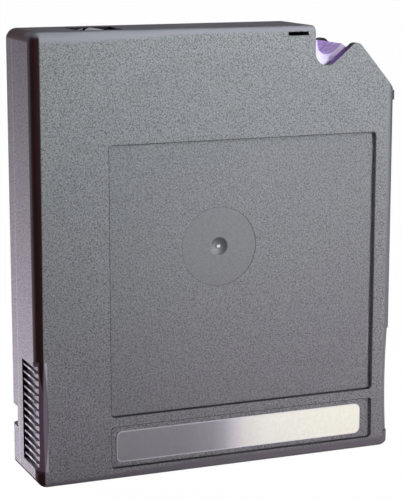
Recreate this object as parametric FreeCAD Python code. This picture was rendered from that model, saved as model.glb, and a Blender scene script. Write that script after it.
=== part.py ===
"""Single-reel half-inch data tape cartridge, standing on its rear edge.

Frame: +X to the right along the width, +Z up from the rear edge to the front edge, and +Y from the
label face to the drive face. The origin is under the middle of the overall box, on the rear edge.
Every place along Y is written as a depth below the label face. All sizes are millimetres.
"""

import FreeCAD, Part
import math
import os

V = FreeCAD.Vector
THROUGH = V(0, 1, 0)

# Case, outside
CASE_WIDTH = 109.0
CASE_LENGTH = 125.0
CASE_THICKNESS = 24.5
TOP_SHELL_DEPTH = 17.0
CORNER_RADIUS = 3.0
EDGE_ROUND = 2.4
REAR_EDGE_ROUND = 1.0

# Case walls and the tongue that keys the two shells together
SIDE_WALL = 2.2
LABEL_FACE_WALL = 2.6
DRIVE_FACE_WALL = 2.2
TONGUE_WIDTH = 0.9
TONGUE_HEIGHT = 1.2
TONGUE_CLEARANCE = 0.12

# Threading notch and bevelled corner, seen on the label face
NOTCH_FROM_RIGHT = 25.7
NOTCH_FLOOR_DEPTH = 11.3
NOTCH_RADIUS = 3.8
NOTCH_MOUTH_ROUND = 0.6
RAMP_ANGLE = 40.5
BEVEL_ANGLE = 49.8
BEVEL_END_DEPTH = 19.15
PEAK_RADIUS = 2.0
BEVEL_END_ROUND = 0.8
BLOCK_MOUTH_DEPTH = 21.8
MOUTH_LIP_ROUND = 1.2

# Stacking recess, its gate disc, and the stacking ribs that sit in the next cartridge's recess
RECESS_LEFT_INSET = 21.7
RECESS_RIGHT_INSET = 6.0
RECESS_REAR = 18.0
RECESS_FRONT_INSET = 30.9
RECESS_DEPTH = 1.1
RECESS_CORNER = 1.0
RIB_HEIGHT = 1.0
RIB_WIDTH = 5.0
RIB_END_CLEARANCE = 0.8
RIB_SIDE_CLEARANCE = 0.4
RIB_END_ROUND = 0.5
DISC_RADIUS = 11.2
DISC_DEPTH = 0.12
DIMPLE_RADIUS = 2.8
DIMPLE_DEPTH = 0.7
GATE_RADIUS = 0.75
GATE_HEIGHT = 0.35

# Label and its recess
LABEL_RECESS_REAR = 3.2
LABEL_RECESS_FRONT = 15.1
LABEL_RECESS_DEPTH = 0.9
LABEL_LEFT_INSET = 23.3
LABEL_RIGHT_INSET = 9.5
LABEL_REAR = 4.6
LABEL_HEIGHT = 9.0
LABEL_THICKNESS = 0.2
LABEL_CORNER = 1.8

# Latch slot near the front edge
SLOT_FROM_NOTCH = 8.4
SLOT_WIDTH = 6.2
SLOT_FROM_FRONT = 1.6
SLOT_HEIGHT = 1.15

# Finger grips on both sides of the top shell
GRIP_REAR = 4.3
GRIP_FRONT = 35.8
GRIP_SAGITTA = 0.65
POCKET_REAR = 5.3
POCKET_FRONT = 34.2
POCKET_DEPTH = 1.3
POCKET_FAR_DEPTH = 12.95
LEFT_POCKET_NEAR_DEPTH = 1.6
RIGHT_POCKET_NEAR_DEPTH = 3.7
GRIP_RIB_COUNT = 13
GRIP_RIB_WIDTH = 0.5
GRIP_RIB_DROP = 0.35
GRIP_WALL = 1.6

# Locating notches in the bottom shell
LOCATOR_REAR = 12.8
LOCATOR_LENGTH = 6.0
LOCATOR_DEPTH = 6.1
LOCATOR_REACH = 4.6
LOCATOR_WALL = 1.6

# Case screws
SCREW_SIDE_INSET = 7.5
SCREW_REAR_INSET = 8.5
SCREW_FRONT_INSET = 7.0
SCREW_NOTCH_INSET = 13.0
SCREW_RADIUS = 1.3
SCREW_HEAD_RADIUS = 2.4
SCREW_HEAD_HEIGHT = 1.5
SCREW_GRIP = 8.0
SCREW_TIP_GAP = 1.0
SCREW_CROSS_WIDTH = 0.6
SCREW_CROSS_DEPTH = 0.8
SCREW_CLEARANCE = 0.2
HEAD_CLEARANCE = 0.3
BOSS_RADIUS = 3.2

# Reel: axis place, hub, flanges and tape
REEL_FROM_FRONT = 61.0
REEL_DEPTH = 4.4
FLANGE_SIDE_GAP = 6.0
UPPER_FLANGE_THICKNESS = 1.1
LOWER_FLANGE_THICKNESS = 1.4
FLANGE_SPIGOT = 1.2
FLANGE_BORE_RADIUS = 19.5
HUB_RADIUS = 25.0
HUB_WALL = 4.0
TAPE_WIDTH = 12.65
TAPE_SIDE_GAP = 0.2
TAPE_INSET = 4.0
TAPE_THICKNESS = 0.2
GUARD_GAP = 1.1
GUARD_WIDTH = 1.2
GUARD_HEIGHT = 2.5

# Drive side of the hub
WINDOW_RADIUS = 21.75
WINDOW_RING_WIDTH = 2.8
REEL_REST_GAP = 0.3
DRIVE_BOSS_RADIUS = 20.5
DRIVE_TEETH_OUTER = 20.2
DRIVE_TEETH_INNER = 16.8
DRIVE_TEETH_DEPTH = 1.2
DRIVE_FACE_GAP = 1.0
TOOTH_COUNT = 60
TOOTH_LIFT = 0.05
DRIVE_GROOVE_SHARE = 0.8
INSERT_RADIUS = 14.5
INSERT_BORE_RADIUS = 5.575
INSERT_THICKNESS = 1.0
INSERT_CLEARANCE = 0.05
WEB_THICKNESS = 2.0
WEB_BORE_RADIUS = 7.5

# Brake: toothed button on a splined post, with a coil spring
BRAKE_TRAVEL = 2.6
BRAKE_RADIUS = 16.0
BRAKE_FLANGE = 1.8
BRAKE_TEETH_INNER = 11.2
BRAKE_TEETH_OUTER = 15.8
BRAKE_GROOVE_SHARE = 0.9
BRAKE_TOOTH_SHARE = 0.75
BRAKE_TOOTH_INSET = 0.2
BRAKE_TOOTH_HEIGHT = 0.75
BRAKE_MESH_GAP = 0.12
BRAKE_RING_DEPTH = 16.55
SLEEVE_RADIUS = 8.0
SLEEVE_LENGTH = 6.8
NOSE_RADIUS = 4.9
NOSE_ROUND = 1.5
NOSE_GAP = 0.5
POST_RADIUS = 4.0
SPLINE_RADIUS = 6.0
SPLINE_WIDTH = 1.8
SPLINE_COUNT = 4
SPLINE_CLEARANCE = 0.1
STOP_CLEARANCE = 0.3
SOCKET_FLOOR = 0.8
SPRING_RADIUS = 10.4
SPRING_WIRE = 1.1
SPRING_TURNS = 3.5
SPRING_SIDES = 8
SPRING_SEAT_GAP = 0.05

# Leader block, its tape pin and the run of tape to it
BLOCK_INSET = 3.0
BLOCK_WALL = 2.5
BLOCK_FACE_GAP = 0.25
BLOCK_END_GAP = 0.5
BLOCK_INNER_ROUND = 3.0
BLOCK_OUTER_ROUND = 2.0
BLOCK_ARM_ROUND = 1.0
LEADER_SLOT_LEFT = 2.6
LEADER_SLOT_FLOOR = 2.7
LEADER_SLOT_RADIUS = 3.0
LEADER_SLOT_ANGLE = 39.0
LEADER_ARM_DEPTH = 4.5
LEADER_CHAMFER = 1.5
PIN_ALONG = 5.0
PIN_FROM_SLOT = 3.0
PIN_RADIUS = 1.55
PIN_HEAD = 1.4
PIN_CLEARANCE = 0.1
TAPE_WRAP = 200.0

# File-protect thumbwheel and its window in the front wall
WHEEL_FROM_LEFT = 21.7
WHEEL_RADIUS = 9.0
WHEEL_SUNK = 0.4
WHEEL_AXLE_RADIUS = 2.0
WHEEL_AXLE_CLEARANCE = 0.05
WHEEL_AXLE_PLAY = 0.1
WHEEL_BOSS_WALL = 1.4
WHEEL_SIDE_GAP = 0.4
WHEEL_FLAT_DEPTH = 2.55
WHEEL_GROOVE_WIDTH = 1.6
WHEEL_GROOVE_DEPTH = 0.9
WHEEL_GROOVE_SPACING = 8.6
WHEEL_GROOVE_ANGLE = 32.0
WINDOW_WIDTH = 13.8
WINDOW_NEAR_DEPTH = 4.0

# How far a moulded feature sinks into the wall that carries it, how far a cutter passes what it
# opens, and how near two places are that count as one
SINK = 0.5
SPARE = 1.0
NEARLY = 0.01

# Places worked out from the sizes above
NEAR_Y = -(CASE_THICKNESS + RIB_HEIGHT) / 2
LEFT = -CASE_WIDTH / 2
RIGHT = CASE_WIDTH / 2
INNER_FAR = CASE_THICKNESS - DRIVE_FACE_WALL
NOTCH_X = RIGHT - NOTCH_FROM_RIGHT
RECESS_LEFT = LEFT + RECESS_LEFT_INSET
RECESS_RIGHT = RIGHT - RECESS_RIGHT_INSET
RECESS_FRONT = CASE_LENGTH - RECESS_FRONT_INSET
REEL_HEIGHT_Z = CASE_LENGTH - REEL_FROM_FRONT
FLANGE_RADIUS = CASE_WIDTH / 2 - FLANGE_SIDE_GAP
TAPE_RADIUS = FLANGE_RADIUS - TAPE_INSET
GUARD_RADIUS = FLANGE_RADIUS + GUARD_GAP
HUB_TOP = REEL_DEPTH + UPPER_FLANGE_THICKNESS
TAPE_TOP = HUB_TOP + TAPE_SIDE_GAP
FLANGE_LOW = TAPE_TOP + TAPE_WIDTH + TAPE_SIDE_GAP
FLANGE_FAR = FLANGE_LOW + LOWER_FLANGE_THICKNESS
DRIVE_BOSS_FAR = CASE_THICKNESS - DRIVE_FACE_GAP
INSERT_FAR = DRIVE_BOSS_FAR - DRIVE_TEETH_DEPTH
INSERT_NEAR = INSERT_FAR - INSERT_THICKNESS
BRAKE_FLANGE_FAR = BRAKE_RING_DEPTH - BRAKE_MESH_GAP
BRAKE_FLANGE_NEAR = BRAKE_FLANGE_FAR - BRAKE_FLANGE
SOCKET_DEPTH = BRAKE_FLANGE_NEAR - SOCKET_FLOOR
POST_FAR = SOCKET_DEPTH - BRAKE_TRAVEL - STOP_CLEARANCE
WHEEL_X = LEFT + WHEEL_FROM_LEFT
WHEEL_Z = CASE_LENGTH - WHEEL_SUNK - WHEEL_RADIUS
WHEEL_NEAR = WINDOW_NEAR_DEPTH + WHEEL_SIDE_GAP
WHEEL_FAR = TOP_SHELL_DEPTH - WHEEL_SIDE_GAP


def depth(value):
    """The Y place that lies this deep below the label face."""
    return NEAR_Y + value


def block(x0, x1, z0, z1, d0, d1):
    return Part.makeBox(x1 - x0, d1 - d0, z1 - z0, V(x0, depth(d0), z0))


def disc(x, z, radius, d0, d1):
    return Part.makeCylinder(radius, d1 - d0, V(x, depth(d0), z), THROUGH)


def ring(x, z, outer, inner, d0, d1):
    return disc(x, z, outer, d0, d1).cut(disc(x, z, inner, d0 - SPARE, d1 + SPARE))


def reel_disc(radius, d0, d1):
    return disc(0, REEL_HEIGHT_Z, radius, d0, d1)


def turned(points):
    """A solid of revolution about the reel axis, from corners given as radius and depth."""
    corners = [V(radius, depth(d), REEL_HEIGHT_Z) for radius, d in points]
    face = Part.Face(Part.makePolygon(corners + corners[:1]))
    return face.revolve(V(0, 0, REEL_HEIGHT_Z), THROUGH, 360)


def rounded_wire(corners):
    """A closed wire in the plane of the label face, from corners given as x, z and corner radius."""
    count = len(corners)
    spans = []
    for i, (x, z, radius) in enumerate(corners):
        here = V(x, 0, z)
        back = V(corners[i - 1][0], 0, corners[i - 1][1]) - here
        ahead = V(corners[(i + 1) % count][0], 0, corners[(i + 1) % count][1]) - here
        if radius == 0:
            spans.append((here, None, here))
            continue
        half = back.getAngle(ahead) / 2
        reach = radius / math.tan(half)
        back.normalize()
        ahead.normalize()
        middle = (back + ahead).normalize()
        centre = here + middle * (radius / math.sin(half))
        spans.append((here + back * reach, centre - middle * radius, here + ahead * reach))
    edges = []
    for i, (start, middle, end) in enumerate(spans):
        if middle is not None:
            edges.append(Part.Arc(start, middle, end).toShape())
        following = spans[(i + 1) % count][0]
        if end.distanceToPoint(following) > NEARLY:
            edges.append(Part.LineSegment(end, following).toShape())
    return Part.Wire(Part.__sortEdges__(edges))


def prism(wire, d0, d1):
    """The solid between two depths that has this outline on the label face."""
    solid = Part.Face(wire).extrude(V(0, d1 - d0, 0))
    solid.translate(V(0, depth(d0), 0))
    return solid


def rounded_plate(x0, x1, z0, z1, radius, d0, d1):
    corners = [(x0, z0, radius), (x1, z0, radius), (x1, z1, radius), (x0, z1, radius)]
    return prism(rounded_wire(corners), d0, d1)


def crossing(point, angle, other, other_angle):
    """Where two lines in the plane of the label face cross; angles are in degrees above +X."""
    a, b = math.radians(angle), math.radians(other_angle)
    dx, dz = other[0] - point[0], other[1] - point[1]
    along = (dx * math.sin(b) - dz * math.cos(b)) / math.sin(b - a)
    return point[0] + along * math.cos(a), point[1] + along * math.sin(a)


# The bevelled corner has its own directions: along the bevel, and outwards from it
BEVEL_END = (RIGHT, CASE_LENGTH - BEVEL_END_DEPTH)
NOTCH_TANGENT = NOTCH_RADIUS / math.tan(math.radians(90 - RAMP_ANGLE) / 2)
NOTCH_CORNER = (NOTCH_X, CASE_LENGTH - NOTCH_FLOOR_DEPTH + NOTCH_RADIUS - NOTCH_TANGENT)
PEAK = crossing(NOTCH_CORNER, RAMP_ANGLE, BEVEL_END, -BEVEL_ANGLE)
ALONG = (math.cos(math.radians(BEVEL_ANGLE)), -math.sin(math.radians(BEVEL_ANGLE)))
OUTWARD = (-ALONG[1], ALONG[0])


def at_bevel(along, outward):
    x = PEAK[0] + along * ALONG[0] + outward * OUTWARD[0]
    z = PEAK[1] + along * ALONG[1] + outward * OUTWARD[1]
    return x, z


def from_peak(point, direction):
    return (point[0] - PEAK[0]) * direction[0] + (point[1] - PEAK[1]) * direction[1]


def case_outline():
    """The outline of both shells, with the notch, its ramp and the bevelled corner."""
    corners = [
        (LEFT, 0, CORNER_RADIUS),
        (RIGHT, 0, CORNER_RADIUS),
        (BEVEL_END[0], BEVEL_END[1], BEVEL_END_ROUND),
        (PEAK[0], PEAK[1], PEAK_RADIUS),
        (NOTCH_CORNER[0], NOTCH_CORNER[1], NOTCH_RADIUS),
        (NOTCH_X, CASE_LENGTH, NOTCH_MOUTH_ROUND),
        (LEFT, CASE_LENGTH, CORNER_RADIUS),
    ]
    return rounded_wire(corners)


def edge_rounded_box(z0, z1, radius):
    """A box as wide and thick as the case, its upright corners rounded and both faces' edges eased."""
    box = rounded_plate(LEFT, RIGHT, z0, z1, CORNER_RADIUS, 0, CASE_THICKNESS)
    flat = [e for e in box.Edges if e.BoundBox.YLength < NEARLY]
    return box.makeFillet(radius, flat)


def case_envelope():
    """The closed outside form of the case, before it is split at the parting plane."""
    spare = 4 * CORNER_RADIUS
    sides = edge_rounded_box(-spare, CASE_LENGTH, EDGE_ROUND)
    rear = edge_rounded_box(0, CASE_LENGTH + spare, REAR_EDGE_ROUND)
    body = sides.common(rear)
    for near, far, wall_far in (
        (0, LABEL_FACE_WALL, False),
        (CASE_THICKNESS - DRIVE_FACE_WALL, CASE_THICKNESS, True),
    ):
        lip = block(RIGHT - 2 * EDGE_ROUND, RIGHT, mouth_rear(), BEVEL_END[1], near, far)
        face = depth(far if wall_far else near)
        outer = [
            e for e in lip.Edges
            if abs(e.BoundBox.XMin - RIGHT) < NEARLY and e.BoundBox.ZLength > SPARE
            and abs(e.BoundBox.YMin - face) < NEARLY
        ]
        body = body.fuse(lip.makeFillet(MOUTH_LIP_ROUND, outer))
    return body.common(prism(case_outline(), 0, CASE_THICKNESS)).removeSplitter()


def mouth_rear():
    """The height at which the side wall stops below the leader block's mouth."""
    return CASE_LENGTH - BLOCK_MOUTH_DEPTH


def cavity_outline(grow=0.0):
    face = Part.Face(case_outline())
    return face.makeOffset2D(-(SIDE_WALL - grow)).OuterWire


def block_mouth():
    """The space between the two face walls where the leader block sits and slides out."""
    far = 3 * CASE_WIDTH
    corners = [
        (NOTCH_X, CASE_LENGTH + SIDE_WALL, 0),
        (NOTCH_X, mouth_rear(), 0),
        (far, mouth_rear(), 0),
        (far, CASE_LENGTH + SIDE_WALL, 0),
    ]
    return prism(rounded_wire(corners), LABEL_FACE_WALL, INNER_FAR)


def screw_places():
    return [
        (LEFT + SCREW_SIDE_INSET, SCREW_REAR_INSET),
        (RIGHT - SCREW_SIDE_INSET, SCREW_REAR_INSET),
        (LEFT + SCREW_SIDE_INSET, CASE_LENGTH - SCREW_FRONT_INSET),
        (NOTCH_X - SCREW_NOTCH_INSET, CASE_LENGTH - SCREW_FRONT_INSET),
    ]


def grip_cutter(side):
    """The shallow hollow across the near edge of one side, and the ribbed pocket beside it."""
    edge = side * RIGHT
    length = GRIP_FRONT - GRIP_REAR
    radius = (length / 2) ** 2 / (2 * GRIP_SAGITTA) + GRIP_SAGITTA / 2
    tilt = V(side, -1, 0).normalize()
    flat = V(edge - side * EDGE_ROUND / 2, depth(EDGE_ROUND / 2), (GRIP_REAR + GRIP_FRONT) / 2)
    centre = flat + tilt * (radius - GRIP_SAGITTA)
    across = V(side, 1, 0).normalize()
    reach = 6 * EDGE_ROUND
    hollow = Part.makeCylinder(radius, 2 * reach, centre - across * reach, across)
    x0, x1 = sorted((edge - side * reach, edge + side * reach))
    hollow = hollow.common(block(x0, x1, GRIP_REAR, GRIP_FRONT, -reach, reach))
    x0, x1 = sorted((edge - side * POCKET_DEPTH, edge + side * SPARE))
    near = LEFT_POCKET_NEAR_DEPTH if side < 0 else RIGHT_POCKET_NEAR_DEPTH
    pocket = block(x0, x1, POCKET_REAR, POCKET_FRONT, near, POCKET_FAR_DEPTH)
    return hollow.fuse(pocket.cut(grip_ribs(side)))


def grip_ribs(side):
    edge = side * RIGHT
    x0, x1 = sorted((edge - side * (POCKET_DEPTH + SPARE), edge - side * GRIP_RIB_DROP))
    pitch = (POCKET_FRONT - POCKET_REAR) / (GRIP_RIB_COUNT + 0.5)
    ribs = []
    for i in range(GRIP_RIB_COUNT):
        z = POCKET_REAR + pitch * (i + 0.75)
        low, high = z - GRIP_RIB_WIDTH / 2, z + GRIP_RIB_WIDTH / 2
        ribs.append(block(x0, x1, low, high, 0, POCKET_FAR_DEPTH + SPARE))
    return Part.makeCompound(ribs)


def brake_post(clearance, d0, d1):
    """The splined post; with a clearance it is the socket that slides on it."""
    post = reel_disc(POST_RADIUS + clearance, d0, d1)
    half = SPLINE_WIDTH / 2 + clearance
    reach = SPLINE_RADIUS + clearance
    for i in range(SPLINE_COUNT // 2):
        key = block(-reach, reach, REEL_HEIGHT_Z - half, REEL_HEIGHT_Z + half, d0, d1)
        key.rotate(V(0, 0, REEL_HEIGHT_Z), THROUGH, i * 360 / SPLINE_COUNT)
        post = post.fuse(key)
    return post.removeSplitter()


def reel_guard(d0, d1):
    """The low wall round the reel, kept clear of the thumbwheel."""
    guard = ring(0, REEL_HEIGHT_Z, GUARD_RADIUS + GUARD_WIDTH, GUARD_RADIUS, d0, d1)
    return guard.cut(disc(WHEEL_X, WHEEL_Z, WHEEL_RADIUS + WHEEL_SIDE_GAP, d0, d1))


def face_features():
    """What is sunk into the label face: stacking recess, gate disc, label recess and latch slot."""
    x0, x1 = RECESS_LEFT, RECESS_RIGHT
    recess = rounded_plate(x0, x1, RECESS_REAR, RECESS_FRONT, RECESS_CORNER, -SPARE, RECESS_DEPTH)
    label_seat = rounded_plate(
        x0, x1, LABEL_RECESS_REAR, LABEL_RECESS_FRONT, RECESS_CORNER, -SPARE, LABEL_RECESS_DEPTH
    )
    gate_disc = reel_disc(DISC_RADIUS, 0, RECESS_DEPTH + DISC_DEPTH)
    floor = RECESS_DEPTH + DISC_DEPTH
    ball = (DIMPLE_RADIUS ** 2 + DIMPLE_DEPTH ** 2) / (2 * DIMPLE_DEPTH)
    dimple = Part.makeSphere(ball, V(0, depth(floor + DIMPLE_DEPTH - ball), REEL_HEIGHT_Z))
    gate = reel_disc(GATE_RADIUS, floor + DIMPLE_DEPTH - GATE_HEIGHT, floor + 2 * DIMPLE_DEPTH)
    top = CASE_LENGTH - SLOT_FROM_FRONT
    slot_left = NOTCH_X - SLOT_FROM_NOTCH
    slot = block(
        slot_left, slot_left + SLOT_WIDTH, top - SLOT_HEIGHT, top, -SPARE, LABEL_FACE_WALL + SPARE
    )
    return [recess, label_seat, gate_disc, dimple.cut(gate), slot]


def case_slab(d0, d1):
    return block(LEFT - SPARE, RIGHT + SPARE, -SPARE, CASE_LENGTH + SPARE, d0, d1)


def top_shell(envelope):
    shell = envelope.common(case_slab(-SPARE, TOP_SHELL_DEPTH))
    cavity = prism(cavity_outline(), LABEL_FACE_WALL, CASE_THICKNESS)
    shell = shell.cut(cavity)
    rebate = TONGUE_HEIGHT + TONGUE_CLEARANCE
    groove = prism(
        cavity_outline(TONGUE_WIDTH + TONGUE_CLEARANCE), TOP_SHELL_DEPTH - rebate, CASE_THICKNESS
    )
    shell = shell.cut(groove)
    root = LABEL_FACE_WALL - SINK
    extras = [
        brake_post(0, root, POST_FAR),
        reel_guard(root, LABEL_FACE_WALL + GUARD_HEIGHT),
        disc(WHEEL_X, WHEEL_Z, WHEEL_AXLE_RADIUS + WHEEL_BOSS_WALL, root,
             WHEEL_NEAR - WHEEL_SIDE_GAP / 2),
    ]
    for x, z in screw_places():
        extras.append(disc(x, z, BOSS_RADIUS, root, TOP_SHELL_DEPTH))
    for side in (-1, 1):
        x0, x1 = sorted((side * (RIGHT - SINK), side * (RIGHT - POCKET_DEPTH - GRIP_WALL)))
        extras.append(block(x0, x1, GRIP_REAR, GRIP_FRONT, root, TOP_SHELL_DEPTH - rebate))
    inside = prism(case_outline(), REAR_EDGE_ROUND, TOP_SHELL_DEPTH)
    shell = shell.fuse([e.common(inside) for e in extras])
    shell = shell.cut(block_mouth())
    for side in (-1, 1):
        shell = shell.cut(grip_cutter(side))
    shell = shell.cut(face_features())
    for x, z in screw_places():
        shell = shell.cut(disc(x, z, SCREW_RADIUS, screw_tip() - SCREW_TIP_GAP, CASE_THICKNESS))
    shell = shell.cut(wheel_axle_hole())
    return shell.cut(wheel_window()).removeSplitter()


def wheel_window():
    """The window in the front wall that the thumbwheel shows through."""
    half = WINDOW_WIDTH / 2
    return block(WHEEL_X - half, WHEEL_X + half, CASE_LENGTH - SIDE_WALL - SPARE,
                 CASE_LENGTH + SPARE, WINDOW_NEAR_DEPTH, TOP_SHELL_DEPTH)


def wheel_axle_hole():
    radius = WHEEL_AXLE_RADIUS + WHEEL_AXLE_CLEARANCE
    return disc(WHEEL_X, WHEEL_Z, radius, LABEL_FACE_WALL, INNER_FAR)


def screw_tip():
    return TOP_SHELL_DEPTH - SCREW_GRIP


def head_seat():
    return CASE_THICKNESS - SCREW_HEAD_HEIGHT - HEAD_CLEARANCE


def bottom_shell(envelope):
    shell = envelope.common(case_slab(TOP_SHELL_DEPTH, CASE_THICKNESS + SPARE))
    tongue = prism(cavity_outline(TONGUE_WIDTH), TOP_SHELL_DEPTH - TONGUE_HEIGHT, TOP_SHELL_DEPTH)
    shell = shell.fuse(tongue.cut(wheel_window()))
    shell = shell.cut(prism(cavity_outline(), 0, INNER_FAR))
    ring_top = FLANGE_FAR + REEL_REST_GAP
    root = INNER_FAR + SINK
    extras = [
        reel_disc(WINDOW_RADIUS + WINDOW_RING_WIDTH, ring_top, root),
        reel_guard(INNER_FAR - GUARD_HEIGHT, root),
        disc(WHEEL_X, WHEEL_Z, WHEEL_AXLE_RADIUS + WHEEL_BOSS_WALL, TOP_SHELL_DEPTH, root),
    ]
    for x, z in screw_places():
        extras.append(disc(x, z, BOSS_RADIUS, TOP_SHELL_DEPTH, root))
    locator_near = CASE_THICKNESS - LOCATOR_DEPTH - LOCATOR_WALL
    for side in (-1, 1):
        x0, x1 = sorted((side * (RIGHT - SINK), side * (RIGHT - LOCATOR_REACH - LOCATOR_WALL)))
        extras.append(block(
            x0, x1, LOCATOR_REAR - LOCATOR_WALL, LOCATOR_REAR + LOCATOR_LENGTH + LOCATOR_WALL,
            max(locator_near, TOP_SHELL_DEPTH), root,
        ))
    inside = prism(case_outline(), TOP_SHELL_DEPTH, CASE_THICKNESS - REAR_EDGE_ROUND)
    shell = shell.fuse([e.common(inside) for e in extras])
    shell = shell.cut(block_mouth())
    outside = CASE_THICKNESS + SPARE
    shell = shell.cut(reel_disc(WINDOW_RADIUS, TOP_SHELL_DEPTH, outside))
    for side in (-1, 1):
        x0, x1 = sorted((side * (RIGHT + SPARE), side * (RIGHT - LOCATOR_REACH)))
        shell = shell.cut(block(x0, x1, LOCATOR_REAR, LOCATOR_REAR + LOCATOR_LENGTH,
                                CASE_THICKNESS - LOCATOR_DEPTH, outside))
    for x, z in screw_places():
        shell = shell.cut(disc(x, z, SCREW_RADIUS + SCREW_CLEARANCE, 0, outside))
        shell = shell.cut(disc(x, z, SCREW_HEAD_RADIUS + HEAD_CLEARANCE, head_seat(), outside))
    shell = shell.cut(wheel_axle_hole())
    return shell.fuse(stacking_ribs()).removeSplitter()


def stacking_ribs():
    z0, z1 = RECESS_REAR + RIB_END_CLEARANCE, RECESS_FRONT - RIB_END_CLEARANCE
    far = CASE_THICKNESS + RIB_HEIGHT
    ribs = []
    for edge, inwards in ((RECESS_LEFT, 1), (RECESS_RIGHT, -1)):
        x0, x1 = sorted((edge + inwards * RIB_SIDE_CLEARANCE,
                         edge + inwards * (RIB_SIDE_CLEARANCE + RIB_WIDTH)))
        rib = block(x0, x1, z0, z1, CASE_THICKNESS - SINK, far)
        crest = [e for e in rib.Edges if abs(e.BoundBox.YMin - depth(far)) < NEARLY]
        ribs.append(rib.makeFillet(RIB_END_ROUND, crest))
    return ribs


def label():
    return rounded_plate(
        LEFT + LABEL_LEFT_INSET, RIGHT - LABEL_RIGHT_INSET, LABEL_REAR, LABEL_REAR + LABEL_HEIGHT,
        LABEL_CORNER, LABEL_RECESS_DEPTH - LABEL_THICKNESS, LABEL_RECESS_DEPTH,
    )


def case_screws():
    """Four alike self-tapping screws, put in from the drive face."""
    screws = []
    for x, z in screw_places():
        far = head_seat() + SCREW_HEAD_HEIGHT
        screw = disc(x, z, SCREW_RADIUS, screw_tip(), far)
        screw = screw.fuse(disc(x, z, SCREW_HEAD_RADIUS, head_seat(), far))
        half, arm = SCREW_CROSS_WIDTH / 2, SCREW_RADIUS
        for dx, dz in ((arm, half), (half, arm)):
            slot = block(x - dx, x + dx, z - dz, z + dz, far - SCREW_CROSS_DEPTH, far + SPARE)
            screw = screw.cut(slot)
        screws.append(screw)
    return Part.makeCompound(screws)


def wedge(inner, outer, base, tip, half_angle):
    """One radial tooth or groove; its flanks and ridge all aim at the reel axis, so they mesh flat."""
    turn = math.tan(math.radians(half_angle))
    ends = []
    for radius in (inner, outer):
        ends.append([
            V(radius, depth(base), REEL_HEIGHT_Z - radius * turn),
            V(radius, depth(base), REEL_HEIGHT_Z + radius * turn),
            V(radius, depth(base + (tip - base) * radius / outer), REEL_HEIGHT_Z),
        ])
    (a, b, c), (d, e, f) = ends
    outlines = [[a, b, c], [d, e, f], [a, b, e, d], [b, c, f, e], [c, a, d, f]]
    faces = [Part.Face(Part.makePolygon(points + points[:1])) for points in outlines]
    return Part.Solid(Part.Shell(faces))


def tooth_ring(inner, outer, base, tip, fill):
    """Radial wedges all round the reel axis; fill is their share of the pitch."""
    one = wedge(inner, outer, base, tip, fill * 180 / TOOTH_COUNT)
    wedges = []
    for i in range(TOOTH_COUNT):
        copy = one.copy()
        copy.rotate(V(0, 0, REEL_HEIGHT_Z), THROUGH, i * 360 / TOOTH_COUNT)
        wedges.append(copy)
    return wedges


def reel_hub():
    """Hub, lower flange and both rings of teeth, moulded as one piece."""
    inner = HUB_RADIUS - HUB_WALL
    web = INSERT_NEAR - WEB_THICKNESS
    seat = INSERT_RADIUS + INSERT_CLEARANCE
    hub = turned([
        (inner, HUB_TOP), (HUB_RADIUS, HUB_TOP), (HUB_RADIUS, FLANGE_LOW),
        (FLANGE_RADIUS, FLANGE_LOW), (FLANGE_RADIUS, FLANGE_FAR),
        (DRIVE_BOSS_RADIUS, FLANGE_FAR), (DRIVE_BOSS_RADIUS, DRIVE_BOSS_FAR),
        (DRIVE_TEETH_INNER, DRIVE_BOSS_FAR), (DRIVE_TEETH_INNER, INSERT_FAR),
        (seat, INSERT_FAR), (seat, INSERT_NEAR), (WEB_BORE_RADIUS, INSERT_NEAR),
        (WEB_BORE_RADIUS, web), (BRAKE_TEETH_INNER, web), (BRAKE_TEETH_INNER, BRAKE_RING_DEPTH),
        (BRAKE_TEETH_OUTER, BRAKE_RING_DEPTH), (BRAKE_TEETH_OUTER, web), (inner, web),
    ])
    drive_grooves = tooth_ring(
        DRIVE_TEETH_INNER - SINK, DRIVE_TEETH_OUTER, DRIVE_BOSS_FAR + TOOTH_LIFT,
        DRIVE_BOSS_FAR - DRIVE_TEETH_DEPTH, DRIVE_GROOVE_SHARE,
    )
    brake_grooves = tooth_ring(
        BRAKE_TEETH_INNER - SINK, BRAKE_TEETH_OUTER + SINK, BRAKE_RING_DEPTH - TOOTH_LIFT,
        BRAKE_RING_DEPTH + BRAKE_TOOTH_HEIGHT + BRAKE_MESH_GAP, BRAKE_GROOVE_SHARE,
    )
    return hub.cut(drive_grooves).cut(brake_grooves)


def upper_flange():
    """The separate flange, welded to the hub on a short spigot."""
    inner = HUB_RADIUS - HUB_WALL
    spigot = HUB_TOP + FLANGE_SPIGOT
    return turned([
        (FLANGE_BORE_RADIUS, REEL_DEPTH), (FLANGE_RADIUS, REEL_DEPTH), (FLANGE_RADIUS, HUB_TOP),
        (inner, HUB_TOP), (inner, spigot), (FLANGE_BORE_RADIUS, spigot),
    ])


def hub_insert():
    return ring(0, REEL_HEIGHT_Z, INSERT_RADIUS, INSERT_BORE_RADIUS, INSERT_NEAR, INSERT_FAR)


def tape_pack():
    return ring(0, REEL_HEIGHT_Z, TAPE_RADIUS, HUB_RADIUS, TAPE_TOP, TAPE_TOP + TAPE_WIDTH)


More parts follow.
